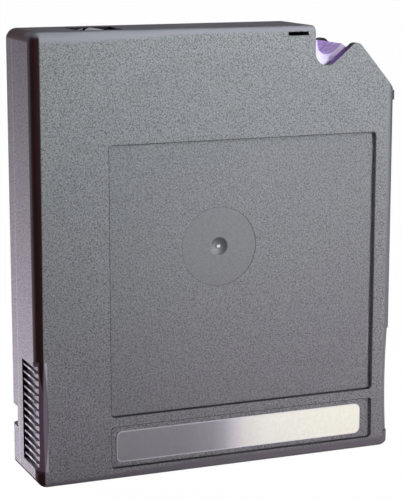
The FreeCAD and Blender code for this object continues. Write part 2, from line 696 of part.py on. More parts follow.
def brake_button():
    """The toothed button that locks the reel until the drive's spindle lifts its nose."""
    nose_far = INSERT_NEAR - NOSE_GAP
    sleeve_near = BRAKE_FLANGE_NEAR - SLEEVE_LENGTH
    button = turned([
        (0, sleeve_near), (SLEEVE_RADIUS, sleeve_near), (SLEEVE_RADIUS, BRAKE_FLANGE_NEAR),
        (BRAKE_RADIUS, BRAKE_FLANGE_NEAR), (BRAKE_RADIUS, BRAKE_FLANGE_FAR),
        (NOSE_RADIUS, BRAKE_FLANGE_FAR), (NOSE_RADIUS, nose_far - NOSE_ROUND),
        (NOSE_RADIUS - NOSE_ROUND, nose_far), (0, nose_far),
    ])
    button = button.cut(brake_post(SPLINE_CLEARANCE, sleeve_near - SPARE, SOCKET_DEPTH))
    teeth = tooth_ring(
        BRAKE_TEETH_INNER + BRAKE_TOOTH_INSET, BRAKE_TEETH_OUTER - BRAKE_TOOTH_INSET / 2,
        BRAKE_FLANGE_FAR - TOOTH_LIFT, BRAKE_FLANGE_FAR + BRAKE_TOOTH_HEIGHT, BRAKE_TOOTH_SHARE,
    )
    return button.fuse(teeth)


def brake_spring():
    """A coil spring between the label wall and the button's flange, its wire drawn with eight flats."""
    start = LABEL_FACE_WALL + SPRING_SEAT_GAP + SPRING_WIRE / 2
    length = BRAKE_FLANGE_NEAR - SPRING_SEAT_GAP - SPRING_WIRE / 2 - start
    helix = Part.makeHelix(length / SPRING_TURNS, length, SPRING_RADIUS)
    turn = V(0, 1, 0)
    first = V(SPRING_WIRE / 2, 0, 0)
    steps = [FreeCAD.Rotation(turn, 360 / SPRING_SIDES * k) for k in range(SPRING_SIDES + 1)]
    section = Part.makePolygon([V(SPRING_RADIUS, 0, 0) + step.multVec(first) for step in steps])
    spring = Part.Wire(helix).makePipeShell([section], True, True)
    spring.rotate(V(0, 0, 0), V(1, 0, 0), -90)
    spring.translate(V(0, depth(start), REEL_HEIGHT_Z))
    return spring


def leader_slot():
    """The threading slot's left wall, floor centre height and the corner its two walls meet at."""
    x = NOTCH_X + LEADER_SLOT_LEFT
    centre_z = CASE_LENGTH - NOTCH_FLOOR_DEPTH + LEADER_SLOT_FLOOR + LEADER_SLOT_RADIUS
    tangent = LEADER_SLOT_RADIUS / math.tan(math.radians(90 - LEADER_SLOT_ANGLE) / 2)
    return x, centre_z, (x, centre_z - tangent)


def pin_place():
    x, centre_z, _ = leader_slot()
    slot_low = from_peak((x + LEADER_SLOT_RADIUS, centre_z), OUTWARD)
    return at_bevel(PIN_ALONG, slot_low - PIN_FROM_SLOT)


def leader_block():
    """The block that the drive pulls the tape out by, with its threading slot and pin channel."""
    x, centre_z, corner = leader_slot()
    skin = LEADER_SLOT_RADIUS + BLOCK_WALL
    inner = from_peak((x + LEADER_SLOT_RADIUS, centre_z), OUTWARD) - skin
    end = from_peak((RIGHT - SIDE_WALL, mouth_rear()), ALONG) - BLOCK_END_GAP
    arm_top = CASE_LENGTH - LEADER_ARM_DEPTH
    arm_left = x - BLOCK_WALL
    outer_start = crossing(corner, LEADER_SLOT_ANGLE, at_bevel(0, -BLOCK_INSET), -BEVEL_ANGLE)
    heel = crossing((arm_left, arm_top), 90, at_bevel(0, inner), -BEVEL_ANGLE)
    inner_end = at_bevel(end, inner)
    outer_end = at_bevel(end, -BLOCK_INSET)
    near, far = LABEL_FACE_WALL + BLOCK_FACE_GAP, INNER_FAR - BLOCK_FACE_GAP
    body = prism(rounded_wire([
        (outer_start[0], outer_start[1], 0),
        (corner[0], corner[1], LEADER_SLOT_RADIUS),
        (x, arm_top, 0),
        (arm_left, arm_top, BLOCK_ARM_ROUND),
        (heel[0], heel[1], skin),
        (inner_end[0], inner_end[1], BLOCK_INNER_ROUND),
        (outer_end[0], outer_end[1], BLOCK_OUTER_ROUND),
    ]), near, far)
    rims = []
    for edge in body.Edges:
        box = edge.BoundBox
        across = x - NEARLY < box.XMin and box.XMax < outer_start[0] + NEARLY
        up = corner[1] < box.ZMin and box.ZMax < arm_top + NEARLY
        if box.YLength < NEARLY and across and up:
            rims.append(edge)
    body = body.makeChamfer(LEADER_CHAMFER, rims)
    px, pz = pin_place()
    radius = PIN_RADIUS + TAPE_THICKNESS + PIN_CLEARANCE
    channel = disc(px, pz, radius, near - SPARE, far + SPARE)
    angle, _, _ = tape_line()
    throat = block(px - radius, px + radius, pz - 4 * skin, pz, near - SPARE, far + SPARE)
    throat.rotate(V(px, 0, pz), THROUGH, -angle)
    return body.cut([channel, throat])


def tape_line():
    """The straight run of tape from the pack to the pin: its normal's angle and its two ends."""
    px, pz = pin_place()
    reach = math.hypot(px, pz - REEL_HEIGHT_Z)
    swing = math.acos((TAPE_RADIUS - PIN_RADIUS) / reach)
    angle = math.atan2(pz - REEL_HEIGHT_Z, px) - swing
    start = (TAPE_RADIUS * math.cos(angle), REEL_HEIGHT_Z + TAPE_RADIUS * math.sin(angle))
    return math.degrees(angle), start, (px, pz)


def leader_pin():
    """The pin that holds the end of the tape in the leader block's channel."""
    px, pz = pin_place()
    near, far = LABEL_FACE_WALL + BLOCK_FACE_GAP, INNER_FAR - BLOCK_FACE_GAP
    head = PIN_RADIUS + TAPE_THICKNESS + PIN_CLEARANCE
    pin = disc(px, pz, PIN_RADIUS, near, far)
    return pin.fuse([disc(px, pz, head, near, near + PIN_HEAD), disc(px, pz, head, far - PIN_HEAD, far)])


def tape_leader():
    """The free run of tape from the outer turn of the pack to the pin, and round it."""
    degrees, _, (px, pz) = tape_line()
    angle, wrap = math.radians(degrees), math.radians(TAPE_WRAP)

    def place(x, z, radius, turn):
        return V(x + radius * math.cos(turn), 0, z + radius * math.sin(turn))

    inner, outer = PIN_RADIUS, PIN_RADIUS + TAPE_THICKNESS
    pack_in = place(0, REEL_HEIGHT_Z, TAPE_RADIUS, angle)
    pack_out = place(0, REEL_HEIGHT_Z, TAPE_RADIUS + TAPE_THICKNESS, angle)
    turns = (angle, angle + wrap / 2, angle + wrap)
    inner_arc = [place(px, pz, inner, turn) for turn in turns]
    outer_arc = [place(px, pz, outer, turn) for turn in turns]
    wire = Part.Wire([
        Part.LineSegment(pack_in, inner_arc[0]).toShape(),
        Part.Arc(*inner_arc).toShape(),
        Part.LineSegment(inner_arc[2], outer_arc[2]).toShape(),
        Part.Arc(outer_arc[2], outer_arc[1], outer_arc[0]).toShape(),
        Part.LineSegment(outer_arc[0], pack_out).toShape(),
        Part.LineSegment(pack_out, pack_in).toShape(),
    ])
    return prism(wire, TAPE_TOP, TAPE_TOP + TAPE_WIDTH)


def file_protect_wheel():
    """A thumbwheel with two slanted finger grooves on one side and a sensing flat on the other."""
    wheel = disc(WHEEL_X, WHEEL_Z, WHEEL_RADIUS, WHEEL_NEAR, WHEEL_FAR)
    flat_top = WHEEL_Z - WHEEL_RADIUS + WHEEL_FLAT_DEPTH
    wheel = wheel.cut(block(WHEEL_X - WHEEL_RADIUS, WHEEL_X + WHEEL_RADIUS, flat_top - WHEEL_RADIUS,
                            flat_top, WHEEL_NEAR - SPARE, WHEEL_FAR + SPARE))
    middle = (WHEEL_NEAR + WHEEL_FAR) / 2
    crest = WHEEL_Z + WHEEL_RADIUS
    for shift in (-WHEEL_GROOVE_SPACING / 2, WHEEL_GROOVE_SPACING / 2):
        drop = WHEEL_RADIUS - math.sqrt(WHEEL_RADIUS ** 2 - shift ** 2)
        groove = block(-WHEEL_GROOVE_WIDTH / 2, WHEEL_GROOVE_WIDTH / 2,
                       crest - drop - WHEEL_GROOVE_DEPTH, crest + SPARE, -WHEEL_FAR, WHEEL_FAR)
        groove.translate(V(0, -depth(0), 0))
        groove.rotate(V(0, 0, 0), V(0, 0, 1), -WHEEL_GROOVE_ANGLE)
        groove.translate(V(WHEEL_X + shift, depth(middle), 0))
        wheel = wheel.cut(groove)
    axle = disc(WHEEL_X, WHEEL_Z, WHEEL_AXLE_RADIUS, LABEL_FACE_WALL + WHEEL_AXLE_PLAY,
                INNER_FAR - WHEEL_AXLE_PLAY)
    return wheel.fuse(axle).removeSplitter()


def build():
    envelope = case_envelope()
    return {
        "top_shell": top_shell(envelope),
        "bottom_shell": bottom_shell(envelope),
        "case_screws": case_screws(),
        "label": label(),
        "reel_hub": reel_hub(),
        "upper_flange": upper_flange(),
        "hub_insert": hub_insert(),
        "tape_pack": tape_pack(),
        "tape_leader": tape_leader(),
        "leader_block": leader_block(),
        "leader_pin": leader_pin(),
        "brake_button": brake_button(),
        "brake_spring": brake_spring(),
        "file_protect_wheel": file_protect_wheel(),
    }


def main():
    os.makedirs("parts", exist_ok=True)
    for node, shape in build().items():
        box = shape.BoundBox
        print(f"{node}: {len(shape.Solids)} solid(s), {shape.Volume:.1f} mm3, valid {shape.isValid()}, "
              f"X {box.XMin:.2f}..{box.XMax:.2f} Y {box.YMin:.2f}..{box.YMax:.2f} "
              f"Z {box.ZMin:.2f}..{box.ZMax:.2f}")
        shape.exportStep(f"parts/{node}.step")


main()
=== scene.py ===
# %% [markdown]
# # A data tape cartridge, dressed for a picture
#
# The real object is a flat box of grained plastic, as big as a hand, with one reel of half-inch
# tape inside. Its shells, screws, hub, brake and leader block come ready-made from the CAD
# model. This lesson adds what CAD leaves out: the grain of the mould, the polish of the edges,
# printed foil, the soft run of tape, and a plain studio to look at it in.

# %% Load the CAD frame
import math

import bmesh
import bpy
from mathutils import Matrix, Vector


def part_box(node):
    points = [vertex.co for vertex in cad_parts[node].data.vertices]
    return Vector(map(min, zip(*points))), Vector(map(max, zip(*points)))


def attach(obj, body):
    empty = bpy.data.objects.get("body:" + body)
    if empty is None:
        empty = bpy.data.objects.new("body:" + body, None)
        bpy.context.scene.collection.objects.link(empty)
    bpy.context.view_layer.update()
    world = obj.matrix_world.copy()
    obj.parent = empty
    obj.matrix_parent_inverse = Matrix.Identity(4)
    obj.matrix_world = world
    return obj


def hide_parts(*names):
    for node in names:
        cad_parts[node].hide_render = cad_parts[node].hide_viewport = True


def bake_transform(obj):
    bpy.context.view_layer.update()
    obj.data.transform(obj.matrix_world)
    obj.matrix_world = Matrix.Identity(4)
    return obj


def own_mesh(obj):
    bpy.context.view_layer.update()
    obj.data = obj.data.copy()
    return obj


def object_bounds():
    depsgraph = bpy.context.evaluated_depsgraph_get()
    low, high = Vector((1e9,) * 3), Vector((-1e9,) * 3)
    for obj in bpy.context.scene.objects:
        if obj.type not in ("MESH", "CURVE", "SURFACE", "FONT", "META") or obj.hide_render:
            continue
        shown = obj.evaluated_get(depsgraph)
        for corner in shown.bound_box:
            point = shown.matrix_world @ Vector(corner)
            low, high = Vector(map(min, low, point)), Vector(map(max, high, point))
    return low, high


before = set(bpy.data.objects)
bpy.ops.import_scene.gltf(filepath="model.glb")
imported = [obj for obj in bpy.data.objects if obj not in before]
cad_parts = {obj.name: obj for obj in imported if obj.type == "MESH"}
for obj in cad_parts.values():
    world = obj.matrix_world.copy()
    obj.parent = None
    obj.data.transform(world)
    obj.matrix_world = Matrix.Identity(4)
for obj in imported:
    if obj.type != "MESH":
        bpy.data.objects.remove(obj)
cad_low, cad_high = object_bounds()
size = cad_high - cad_low
print("CAD box in millimetres:", [round(1000 * side, 2) for side in size])

# %% [markdown]
# ## Where things are
#
# Every place below is read from the frame, so that a change of size in CAD carries through.
# The cartridge stands on its rear edge: X runs along its width, Z up its length, and Y goes
# from the label face, which looks at us, to the drive face behind. One helper measures a node.
# The recess, the label's seat and the disc are flats just below the label face, and a second
# helper finds each of them by its depth.

# %% Measure the nodes that the finishes refer to
def box(node):
    """The low corner, the high corner and the middle of a node's box."""
    low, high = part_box(node)
    return low, high, (low + high) / 2


MM = 0.001
shell_low, shell_high, shell_middle = box("top_shell")
_, back_high, _ = box("bottom_shell")
label_low, label_high, label_middle = box("label")
face_y = shell_low.y
parting_y = shell_high.y
_, _, hub_middle = box("reel_hub")
wheel_low, wheel_high, wheel_middle = box("file_protect_wheel")
print("label face at", round(face_y, 5), "and parting plane at", round(parting_y, 5))


def sunk_floor(sink):
    """Centre and half size of the flat that lies at one depth below the label face."""
    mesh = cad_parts["top_shell"].data
    points = []
    for flat in mesh.polygons:
        if flat.normal.y < -0.999 and abs(flat.center.y - face_y - sink) < 0.01 * MM:
            points += [mesh.vertices[index].co for index in flat.vertices]
    low, high = (Vector(pick(point[axis] for point in points) for axis in range(3))
                 for pick in (min, max))
    return (low + high) / 2, (high - low) / 2


RECESS_SINK = 1.1 * MM
SEAT_SINK = 0.9 * MM
DISC_SINK = 1.22 * MM
recess_centre, recess_half = sunk_floor(RECESS_SINK)
seat_centre, seat_half = sunk_floor(SEAT_SINK)
disc_centre, disc_half = sunk_floor(DISC_SINK)
for name, half in (("recess", recess_half), ("label seat", seat_half), ("disc", disc_half)):
    print(name, "measures", [round(2000 * side, 1) for side in half], "mm")

# %% [markdown]
# ## The camera
#
# Product pictures of small things are taken from a few hand spans away with a long lens, which
# keeps the sides nearly parallel. The camera stands to the left of the label face and a little
# above the top edge, and looks slightly down, so that the case fills the frame with its left
# side in view.

# %% Camera
LENS = 125.3
SENSOR = 36
STAND = (-0.1865, -0.4535, 0.156)
TURN = math.radians(22.29)
DIP = math.radians(10.98)

camera = bpy.data.objects.new("camera", bpy.data.cameras.new("camera"))
camera.location = STAND
camera.rotation_euler = (math.pi / 2 - DIP, 0, -TURN)
camera.data.lens = LENS
camera.data.sensor_width = SENSOR
camera.data.clip_start = 0.01
bpy.context.scene.collection.objects.link(camera)
bpy.context.scene.camera = camera
print("camera", round((camera.location - shell_middle).length, 3), "m from the case")

# %% [markdown]
# ## Helpers for shader trees
#
# A material is a small graph, and a few helpers keep the graphs readable: they add a node with
# its settings, join two sockets, do a sum, make a soft step, blend two colours and ask for the
# surface point. Most return the socket that the next step needs, so a finish reads from top to
# bottom.

# %% Shader helpers
def add(tree, kind, inputs=None, **settings):
    node = tree.nodes.new("ShaderNode" + kind)
    for name, value in settings.items():
        setattr(node, name, value)
    for name, value in (inputs or {}).items():
        connect(tree, value, node.inputs[name])
    return node


def connect(tree, value, socket):
    if isinstance(value, bpy.types.NodeSocket):
        tree.links.new(value, socket)
    else:
        socket.default_value = value


def math_node(tree, operation, a, b=0.0, c=0.0):
    return add(tree, "Math", {0: a, 1: b, 2: c}, operation=operation).outputs[0]


def ease(tree, value, low, high):
    """0 below low, 1 above high, and a smooth step between them."""
    inputs = {"Value": value, "From Min": low, "From Max": high}
    node = add(tree, "MapRange", inputs, interpolation_type="SMOOTHSTEP")
    return node.outputs["Result"]


def blend_colours(tree, factor, a, b, mode="MIX"):
    node = add(tree, "Mix", data_type="RGBA", blend_type=mode)
    connect(tree, factor, node.inputs[0])
    connect(tree, a, node.inputs[6])
    connect(tree, b, node.inputs[7])
    return node.outputs[2]


def place(tree):
    """The surface point in metres, in the object's own frame."""
    return add(tree, "TexCoord").outputs["Object"]


# %% [markdown]
# ## Effects that several finishes share
#
# Moulded grain, polished edges, outlines and dust turn up more than once. Each is built once as
# a node group with named inputs and outputs, and a material sets its own amounts. A group only
# puts out numbers that vary over the surface. The shader stays in the material.

# %% Start a group
def start_group(name, inputs, outputs):
    group = bpy.data.node_groups.new(name, "ShaderNodeTree")
    for label, kind, value in inputs:
        made = group.interface.new_socket(label, in_out="INPUT", socket_type="NodeSocket" + kind)
        made.default_value = value
    for label, kind in outputs:
        group.interface.new_socket(label, in_out="OUTPUT", socket_type="NodeSocket" + kind)
    given = group.nodes.new("NodeGroupInput").outputs
    result = group.nodes.new("NodeGroupOutput").inputs
    return group, given, result


def use(tree, group, **inputs):
    node = add(tree, "Group", node_tree=group)
    for name, value in inputs.items():
        connect(tree, value, node.inputs[name.replace("_", " ")])
    return node.outputs


# %% [markdown]
# ### Moulded grain
#
# The mould of such a case is spark-eroded, which leaves the plastic covered in small soft
# pebbles under a millimetre across. A cell pattern, warped by noise so that no row shows, and a
# finer noise on top of it give the height. The same height gives a faint fleck in the colour,
# since pebble tops catch more light than the pits.

# %% Grain group
GRAIN, given, result = start_group(
    "moulded_grain",
    [("Pitch", "Float", 0.7 * MM), ("Softness", "Float", 0.5)],
    [("Height", "Float"), ("Fleck", "Float")],
)
density = math_node(GRAIN, "DIVIDE", 1.0, given["Pitch"])
warp = add(GRAIN, "TexNoise", {"Vector": place(GRAIN), "Scale": density, "Detail": 2.0})
wobble = add(GRAIN, "VectorMath", {0: warp.outputs["Color"], 3: 0.6 * MM}, operation="SCALE")
moved = add(GRAIN, "VectorMath", {0: place(GRAIN), 1: wobble.outputs[0]}, operation="ADD")
pebbles = add(GRAIN, "TexVoronoi", {"Vector": moved.outputs[0], "Scale": density},
              feature="SMOOTH_F1")
fine = add(GRAIN, "TexNoise", {"Vector": moved.outputs[0], "Detail": 3.0,
                               "Scale": math_node(GRAIN, "MULTIPLY", density, 1.7)})
top = math_node(GRAIN, "SUBTRACT", 0.75, pebbles.outputs["Distance"])
height = math_node(GRAIN, "MULTIPLY_ADD", fine.outputs[0], given["Softness"], top)
connect(GRAIN, height, result["Height"])
connect(GRAIN, ease(GRAIN, height, 0.2, 1.0), result["Fleck"])
print("group", GRAIN.name, "has", len(GRAIN.nodes), "nodes")

# %% [markdown]
# ### Smooth edges
#
# The rounded edges of the case are polished in the mould, and hands polish them further. On a
# box the edges are where two faces are near at once. So the group measures how deep a point lies
# below the nearer face along each axis, turns the three depths into masks and multiplies them in
# pairs. It needs only two corners of the box.

# %% Edge group
EDGE, given, result = start_group(
    "box_edge",
    [("Low", "Vector", (0, 0, 0)), ("High", "Vector", (0, 0, 0)), ("Reach", "Float", 2 * MM),
     ("Softness", "Float", 0.1)],
    [("Along Z", "Float"), ("Along X", "Float")],
)
above = add(EDGE, "VectorMath", {0: place(EDGE), 1: given["Low"]}, operation="SUBTRACT")
below = add(EDGE, "VectorMath", {0: given["High"], 1: place(EDGE)}, operation="SUBTRACT")
gap = add(EDGE, "VectorMath", {0: above.outputs[0], 1: below.outputs[0]}, operation="MINIMUM")
gaps = add(EDGE, "SeparateXYZ", {0: gap.outputs[0]}).outputs
start = math_node(EDGE, "ADD", 1.0, given["Softness"])
full = math_node(EDGE, "SUBTRACT", 1.0, given["Softness"])
near = []
for axis in range(3):
    share = math_node(EDGE, "DIVIDE", gaps[axis], given["Reach"])
    near.append(ease(EDGE, share, start, full))
pairs = [math_node(EDGE, "MULTIPLY", near[a], near[b]) for a, b in ((0, 1), (1, 2), (0, 2))]
connect(EDGE, math_node(EDGE, "MAXIMUM", pairs[0], pairs[2]), result["Along Z"])
connect(EDGE, pairs[1], result["Along X"])
print("group", EDGE.name, "has", len(EDGE.nodes), "nodes")

# %% [markdown]
# ### Outlines of sunk places
#
# The recess, the label's seat and the gate disc are made by inserts in the mould, and a sharp
# dark line of painted shade marks the step where an insert met its neighbour. All three are
# rounded rectangles seen from the front, since a disc is one whose corner radius is half its
# side. The group gives the distance of a point to such an outline, negative inside.

# %% Outline group
OUTLINE, given, result = start_group(
    "outline_distance",
    [("Centre", "Vector", (0, 0, 0)), ("Half", "Vector", (0, 0, 0)), ("Corner", "Float", MM)],
    [("Distance", "Float")],
)
offset = add(OUTLINE, "VectorMath", {0: place(OUTLINE), 1: given["Centre"]}, operation="SUBTRACT")
folded = add(OUTLINE, "VectorMath", {0: offset.outputs[0]}, operation="ABSOLUTE")
beyond = add(OUTLINE, "VectorMath", {0: folded.outputs[0], 1: given["Half"]}, operation="SUBTRACT")
parts = add(OUTLINE, "SeparateXYZ", {0: beyond.outputs[0]}).outputs
x_beyond = math_node(OUTLINE, "ADD", parts["X"], given["Corner"])
z_beyond = math_node(OUTLINE, "ADD", parts["Z"], given["Corner"])
round_part = add(OUTLINE, "CombineXYZ", {
    0: math_node(OUTLINE, "MAXIMUM", x_beyond, 0.0),
    2: math_node(OUTLINE, "MAXIMUM", z_beyond, 0.0),
})
outer = add(OUTLINE, "VectorMath", {0: round_part.outputs[0]}, operation="LENGTH").outputs["Value"]
inner = math_node(OUTLINE, "MINIMUM", math_node(OUTLINE, "MAXIMUM", x_beyond, z_beyond), 0.0)
reach = math_node(OUTLINE, "SUBTRACT", math_node(OUTLINE, "ADD", outer, inner), given["Corner"])
connect(OUTLINE, reach, result["Distance"])
print("group", OUTLINE.name, "has", len(OUTLINE.nodes), "nodes")

# %% [markdown]
# ### Dust
#
# Dust lies on what faces up and gathers in loose clouds. The group multiplies the upward part
# of the normal by a broad noise, and a material mixes a little grey in where it is white.

# %% Dust group
DUST, given, result = start_group(
    "dust", [("Amount", "Float", 0.3), ("Patch", "Float", 0.02)], [("Mask", "Float")]
)
normal = add(DUST, "NewGeometry").outputs["Normal"]
upward = add(DUST, "SeparateXYZ", {0: normal}).outputs["Z"]
clouds = add(DUST, "TexNoise", {
    "Vector": place(DUST), "Detail": 5.0,
    "Scale": math_node(DUST, "DIVIDE", 1.0, given["Patch"]),
})
lying = math_node(DUST, "MULTIPLY", ease(DUST, upward, 0.3, 0.95),
                  ease(DUST, clouds.outputs[0], 0.35, 0.7))
connect(DUST, math_node(DUST, "MULTIPLY", lying, given["Amount"]), result["Mask"])
print("group", DUST.name, "has", len(DUST.nodes), "nodes")

# %% [markdown]
# ## Finishes
#
# A finish is one material on the pieces that are really made of it. The first helper below makes
# the material and its Principled shader, and sets the constant values on the shader's own
# sockets. The second adds a bump, and the third puts the material on a node.

# %% Material helpers
def start_material(name, **constants):
    material = bpy.data.materials.new(name)
    material.use_nodes = True
    tree = material.node_tree
    shader = tree.nodes["Principled BSDF"]
    for socket, value in constants.items():
        shader.inputs[socket.replace("_", " ")].default_value = value
    return material, tree, shader


def roughen(tree, shader, height, distance, strength):
    bump = add(tree, "Bump", {"Height": height, "Distance": distance, "Strength": strength})
    connect(tree, bump.outputs[0], shader.inputs["Normal"])


def finish_node(node, material):
    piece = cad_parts[node]
    for place_in_row in range(len(piece.material_slots)):
        piece.material_slots[place_in_row].material = material
    print(node, "is finished in", material.name)


# %% [markdown]
# ### Case plastic
#
# The case is a dark grey polycarbonate that looks lighter where the grain scatters light. Its
# edges are polished, and their colour is painted shade on the left and along the bottom, and
# painted light along the top and on the right. The top side is painted darker as shade. Painted
# highlights make the grip's ribs and the seam pale, and thin lines of painted shade mark the
# steps. Each such place is a mask with a colour of its own. The masks come first, in cells of
# their own, and one material then lays the colours over each other.

# %% Colours of the case plastic
GRAINED = (0.1, 0.098, 0.103, 1)
FLECK = (0.26, 0.256, 0.268, 1)
# painted shade: the polished left edges, near black where little light reaches
POLISHED_IN_SHADE = (0.018, 0.006, 0.007, 1)
# painted light: the edge in the grip's scoop, paler as if lit
SCOOP_LIT = (0.155, 0.108, 0.13, 1)
# painted highlight on the rim of the scoop
SCOOP_RIM_HIGHLIGHT = (0.42, 0.365, 0.43, 1)
# painted shade: the top side, darker than the label face
TOP_SIDE_SHADE = (0.088, 0.083, 0.104, 1)
# painted sheen on the band along the top edge
TOP_EDGE_SHEEN = (0.215, 0.2, 0.235, 1)
# painted shade on the edge bands lower down
LOW_EDGE_SHADE = (0.12, 0.11, 0.125, 1)
# painted light on the right edge, where the key lamp falls
RIGHT_EDGE_LIT = (0.17, 0.172, 0.185, 1)
SHADED_EDGE = (0.04, 0.038, 0.042, 1)
# painted highlight on the grip's rib crests and on the parting seam
PAINTED_HIGHLIGHT = (0.5, 0.47, 0.54, 1)
# painted shade: nearly black where little light gets in
SHADE_INSIDE = (0.016, 0.013, 0.018, 1)
# painted reflection of the purple leader block on the notch's slanted wall
PURPLE_REFLECTION = (0.2, 0.11, 0.36, 1)
# painted shade: lines along the steps, and one side of the dimple
PAINTED_SHADE = (0.02, 0.02, 0.022, 1)
# painted highlight: the pale dot on the gate's scar
GATE_HIGHLIGHT = (0.5, 0.5, 0.5, 1)
DUST_GREY = (0.42, 0.41, 0.42, 1)

# %% [markdown]
# Masks are numbers from 0 to 1. They multiply where both have to hold, and the larger counts
# where either will do. With names for these few sums, the cells below read like a description.

# %% Mask helpers
def times(tree, *masks):
    product = masks[0]
    for mask in masks[1:]:
        product = math_node(tree, "MULTIPLY", product, mask)
    return product


def most(tree, *masks):
    largest = masks[0]
    for mask in masks[1:]:
        largest = math_node(tree, "MAXIMUM", largest, mask)
    return largest


def apart_from(tree, mask):
    return math_node(tree, "SUBTRACT", 1.0, mask)


def paint(tree, colour, mask, over, strength=1.0):
    """Lay one colour over another where the mask is white."""
    if strength < 1.0:
        mask = times(tree, mask, strength)
    return blend_colours(tree, mask, colour, over)


def outline(tree, centre, half, corner):
    return use(tree, OUTLINE, Centre=tuple(centre), Half=tuple(half), Corner=corner)["Distance"]


def line_at(tree, distance, width):
    away = math_node(tree, "ABSOLUTE", distance)
    return ease(tree, away, width, 0.3 * width)


def between(tree, value, low, high, soft=0.1 * MM):
    """1 from low to high with a soft step at each end."""
    return times(tree, ease(tree, value, low - soft, low + soft),
                 ease(tree, value, high + soft, high - soft))


# %% [markdown]
# Every mask asks the same things of a point: how far across and up it is, how deep below the
# label face, how near to either side, and which way its surface faces. One helper answers them
# all. The label face counts as the first three millimetres, which takes in its rounded edge.

# %% Where a point of the case lies
FACE_DEPTH = 3.0 * MM


def case_point(tree):
    spot = add(tree, "SeparateXYZ", {0: place(tree)}).outputs
    normal = add(tree, "NewGeometry").outputs["True Normal"]
    at = {"x": spot["X"], "y": spot["Y"], "z": spot["Z"]}
    at["facing"] = add(tree, "SeparateXYZ", {0: normal}).outputs
    at["sunk"] = math_node(tree, "SUBTRACT", spot["Y"], face_y)
    at["near face"] = ease(tree, at["sunk"], FACE_DEPTH, FACE_DEPTH - 0.2 * MM)
    at["upper"] = ease(tree, spot["Z"], 0.1 * shell_high.z, 0.9 * shell_high.z)
    at["left gap"] = math_node(tree, "SUBTRACT", spot["X"], shell_low.x)
    at["right gap"] = math_node(tree, "SUBTRACT", shell_high.x, spot["X"])
    return at


# %% [markdown]
# The upright edges carry a band of polish that narrows towards the foot, and at the very top
# the grain comes back. The band along the top is widest at the left, and the band along the
# bottom at the right. The top band is painted light as a sheen, and the bottom band painted
# shade. The box that the bands are measured from reaches past the drive face, so that the edges
# there stay grained.

# %% Masks for the polished edges
BAND_LOW = (shell_low.x, face_y, shell_low.z)
BAND_HIGH = (shell_high.x, back_high.y + 5 * MM, shell_high.z)
UPRIGHT_REACH = 2.2 * MM
UPRIGHT_GROWTH = 0.4 * MM
UPRIGHT_END = shell_high.z - 1.8 * MM
LEVEL_REACH = 1.4 * MM
LEVEL_GROWTH = 1.3 * MM


def upright_edge(tree, at):
    reach = math_node(tree, "MULTIPLY_ADD", at["upper"], UPRIGHT_GROWTH, UPRIGHT_REACH)
    edge = use(tree, EDGE, Low=BAND_LOW, High=BAND_HIGH, Reach=reach, Softness=0.1)["Along Z"]
    corner = times(tree, ease(tree, at["z"], UPRIGHT_END, shell_high.z - 0.2 * MM),
                   ease(tree, at["sunk"], 9 * MM, 5 * MM))
    return times(tree, edge, apart_from(tree, corner))


def level_edge(tree, at):
    rightward = ease(tree, at["x"], shell_low.x + 12 * MM, shell_low.x + 50 * MM)
    wider = math_node(tree, "ABSOLUTE", math_node(tree, "SUBTRACT", rightward, at["upper"]))
    width = math_node(tree, "MULTIPLY_ADD", wider, LEVEL_GROWTH, LEVEL_REACH)
    return use(tree, EDGE, Low=BAND_LOW, High=BAND_HIGH, Reach=width, Softness=0.35)["Along X"]


# %% [markdown]
# The recess and the disc are inside their outlines, and a dark line of painted shade follows
# each outline, where the step would shade its foot. The right wall of the recess gets no line,
# because the wall itself is in shade there. The line round the disc is fainter, since the step
# is only about a tenth of a millimetre.

# %% Masks for the sunk places
LINE = 0.22 * MM
FAINT = 0.4
CORNER = 1.0 * MM


def sunk_places(tree, at):
    recess = outline(tree, recess_centre, recess_half, CORNER)
    seat = outline(tree, seat_centre, seat_half, CORNER)
    disc = outline(tree, disc_centre, disc_half, disc_half.x)
    in_recess = times(tree, ease(tree, recess, 0.0, -LINE), at["near face"])
    in_disc = times(tree, ease(tree, disc, 0.0, -LINE), at["near face"])
    recess_right = recess_centre.x + recess_half.x
    right_wall = ease(tree, at["x"], recess_right - MM, recess_right - 0.3 * MM)
    # painted shade lines along the outlines of the recess, the seat and the disc
    dark = times(tree, most(tree, line_at(tree, recess, LINE), line_at(tree, seat, LINE)),
                 apart_from(tree, right_wall))
    disc_shade_line = times(tree, line_at(tree, disc, 0.8 * LINE), FAINT)
    return in_recess, in_disc, times(tree, most(tree, dark, disc_shade_line), at["near face"])


# %% [markdown]
# On the open walls the grain's own pattern picks between a dark and a light grey. Where the
# mould is smoother the pattern fades towards one even shade. The wide circle that covers the
# reel is a touch darker.

# %% Colour of the grained walls
EVEN_SHADE = 0.5
RECESS_SMOOTH = 0.2
RECESS_DARKER = -0.07
DISC_SMOOTH = 0.55
DISC_DARKER = -0.03
REEL_RADIUS = 54.5 * MM


def grained_walls(tree, at, fleck, in_recess, in_disc):
    smooth = math_node(tree, "MULTIPLY_ADD", in_recess, RECESS_SMOOTH,
                       times(tree, in_disc, DISC_SMOOTH))
    shade = math_node(tree, "MULTIPLY_ADD", in_recess, RECESS_DARKER, EVEN_SHADE)
    shade = math_node(tree, "MULTIPLY_ADD", in_disc, DISC_DARKER, shade)
    pattern = math_node(tree, "SUBTRACT", fleck, EVEN_SHADE)
    pattern = times(tree, pattern, apart_from(tree, smooth))
    walls = blend_colours(tree, math_node(tree, "ADD", pattern, shade), GRAINED, FLECK)
    circle = outline(tree, disc_centre, (REEL_RADIUS, 0, REEL_RADIUS), REEL_RADIUS)
    over_reel = times(tree, ease(tree, circle, 1.2 * MM, -1.2 * MM), at["near face"])
    return paint(tree, walls, over_reel, GRAINED, 0.1), smooth


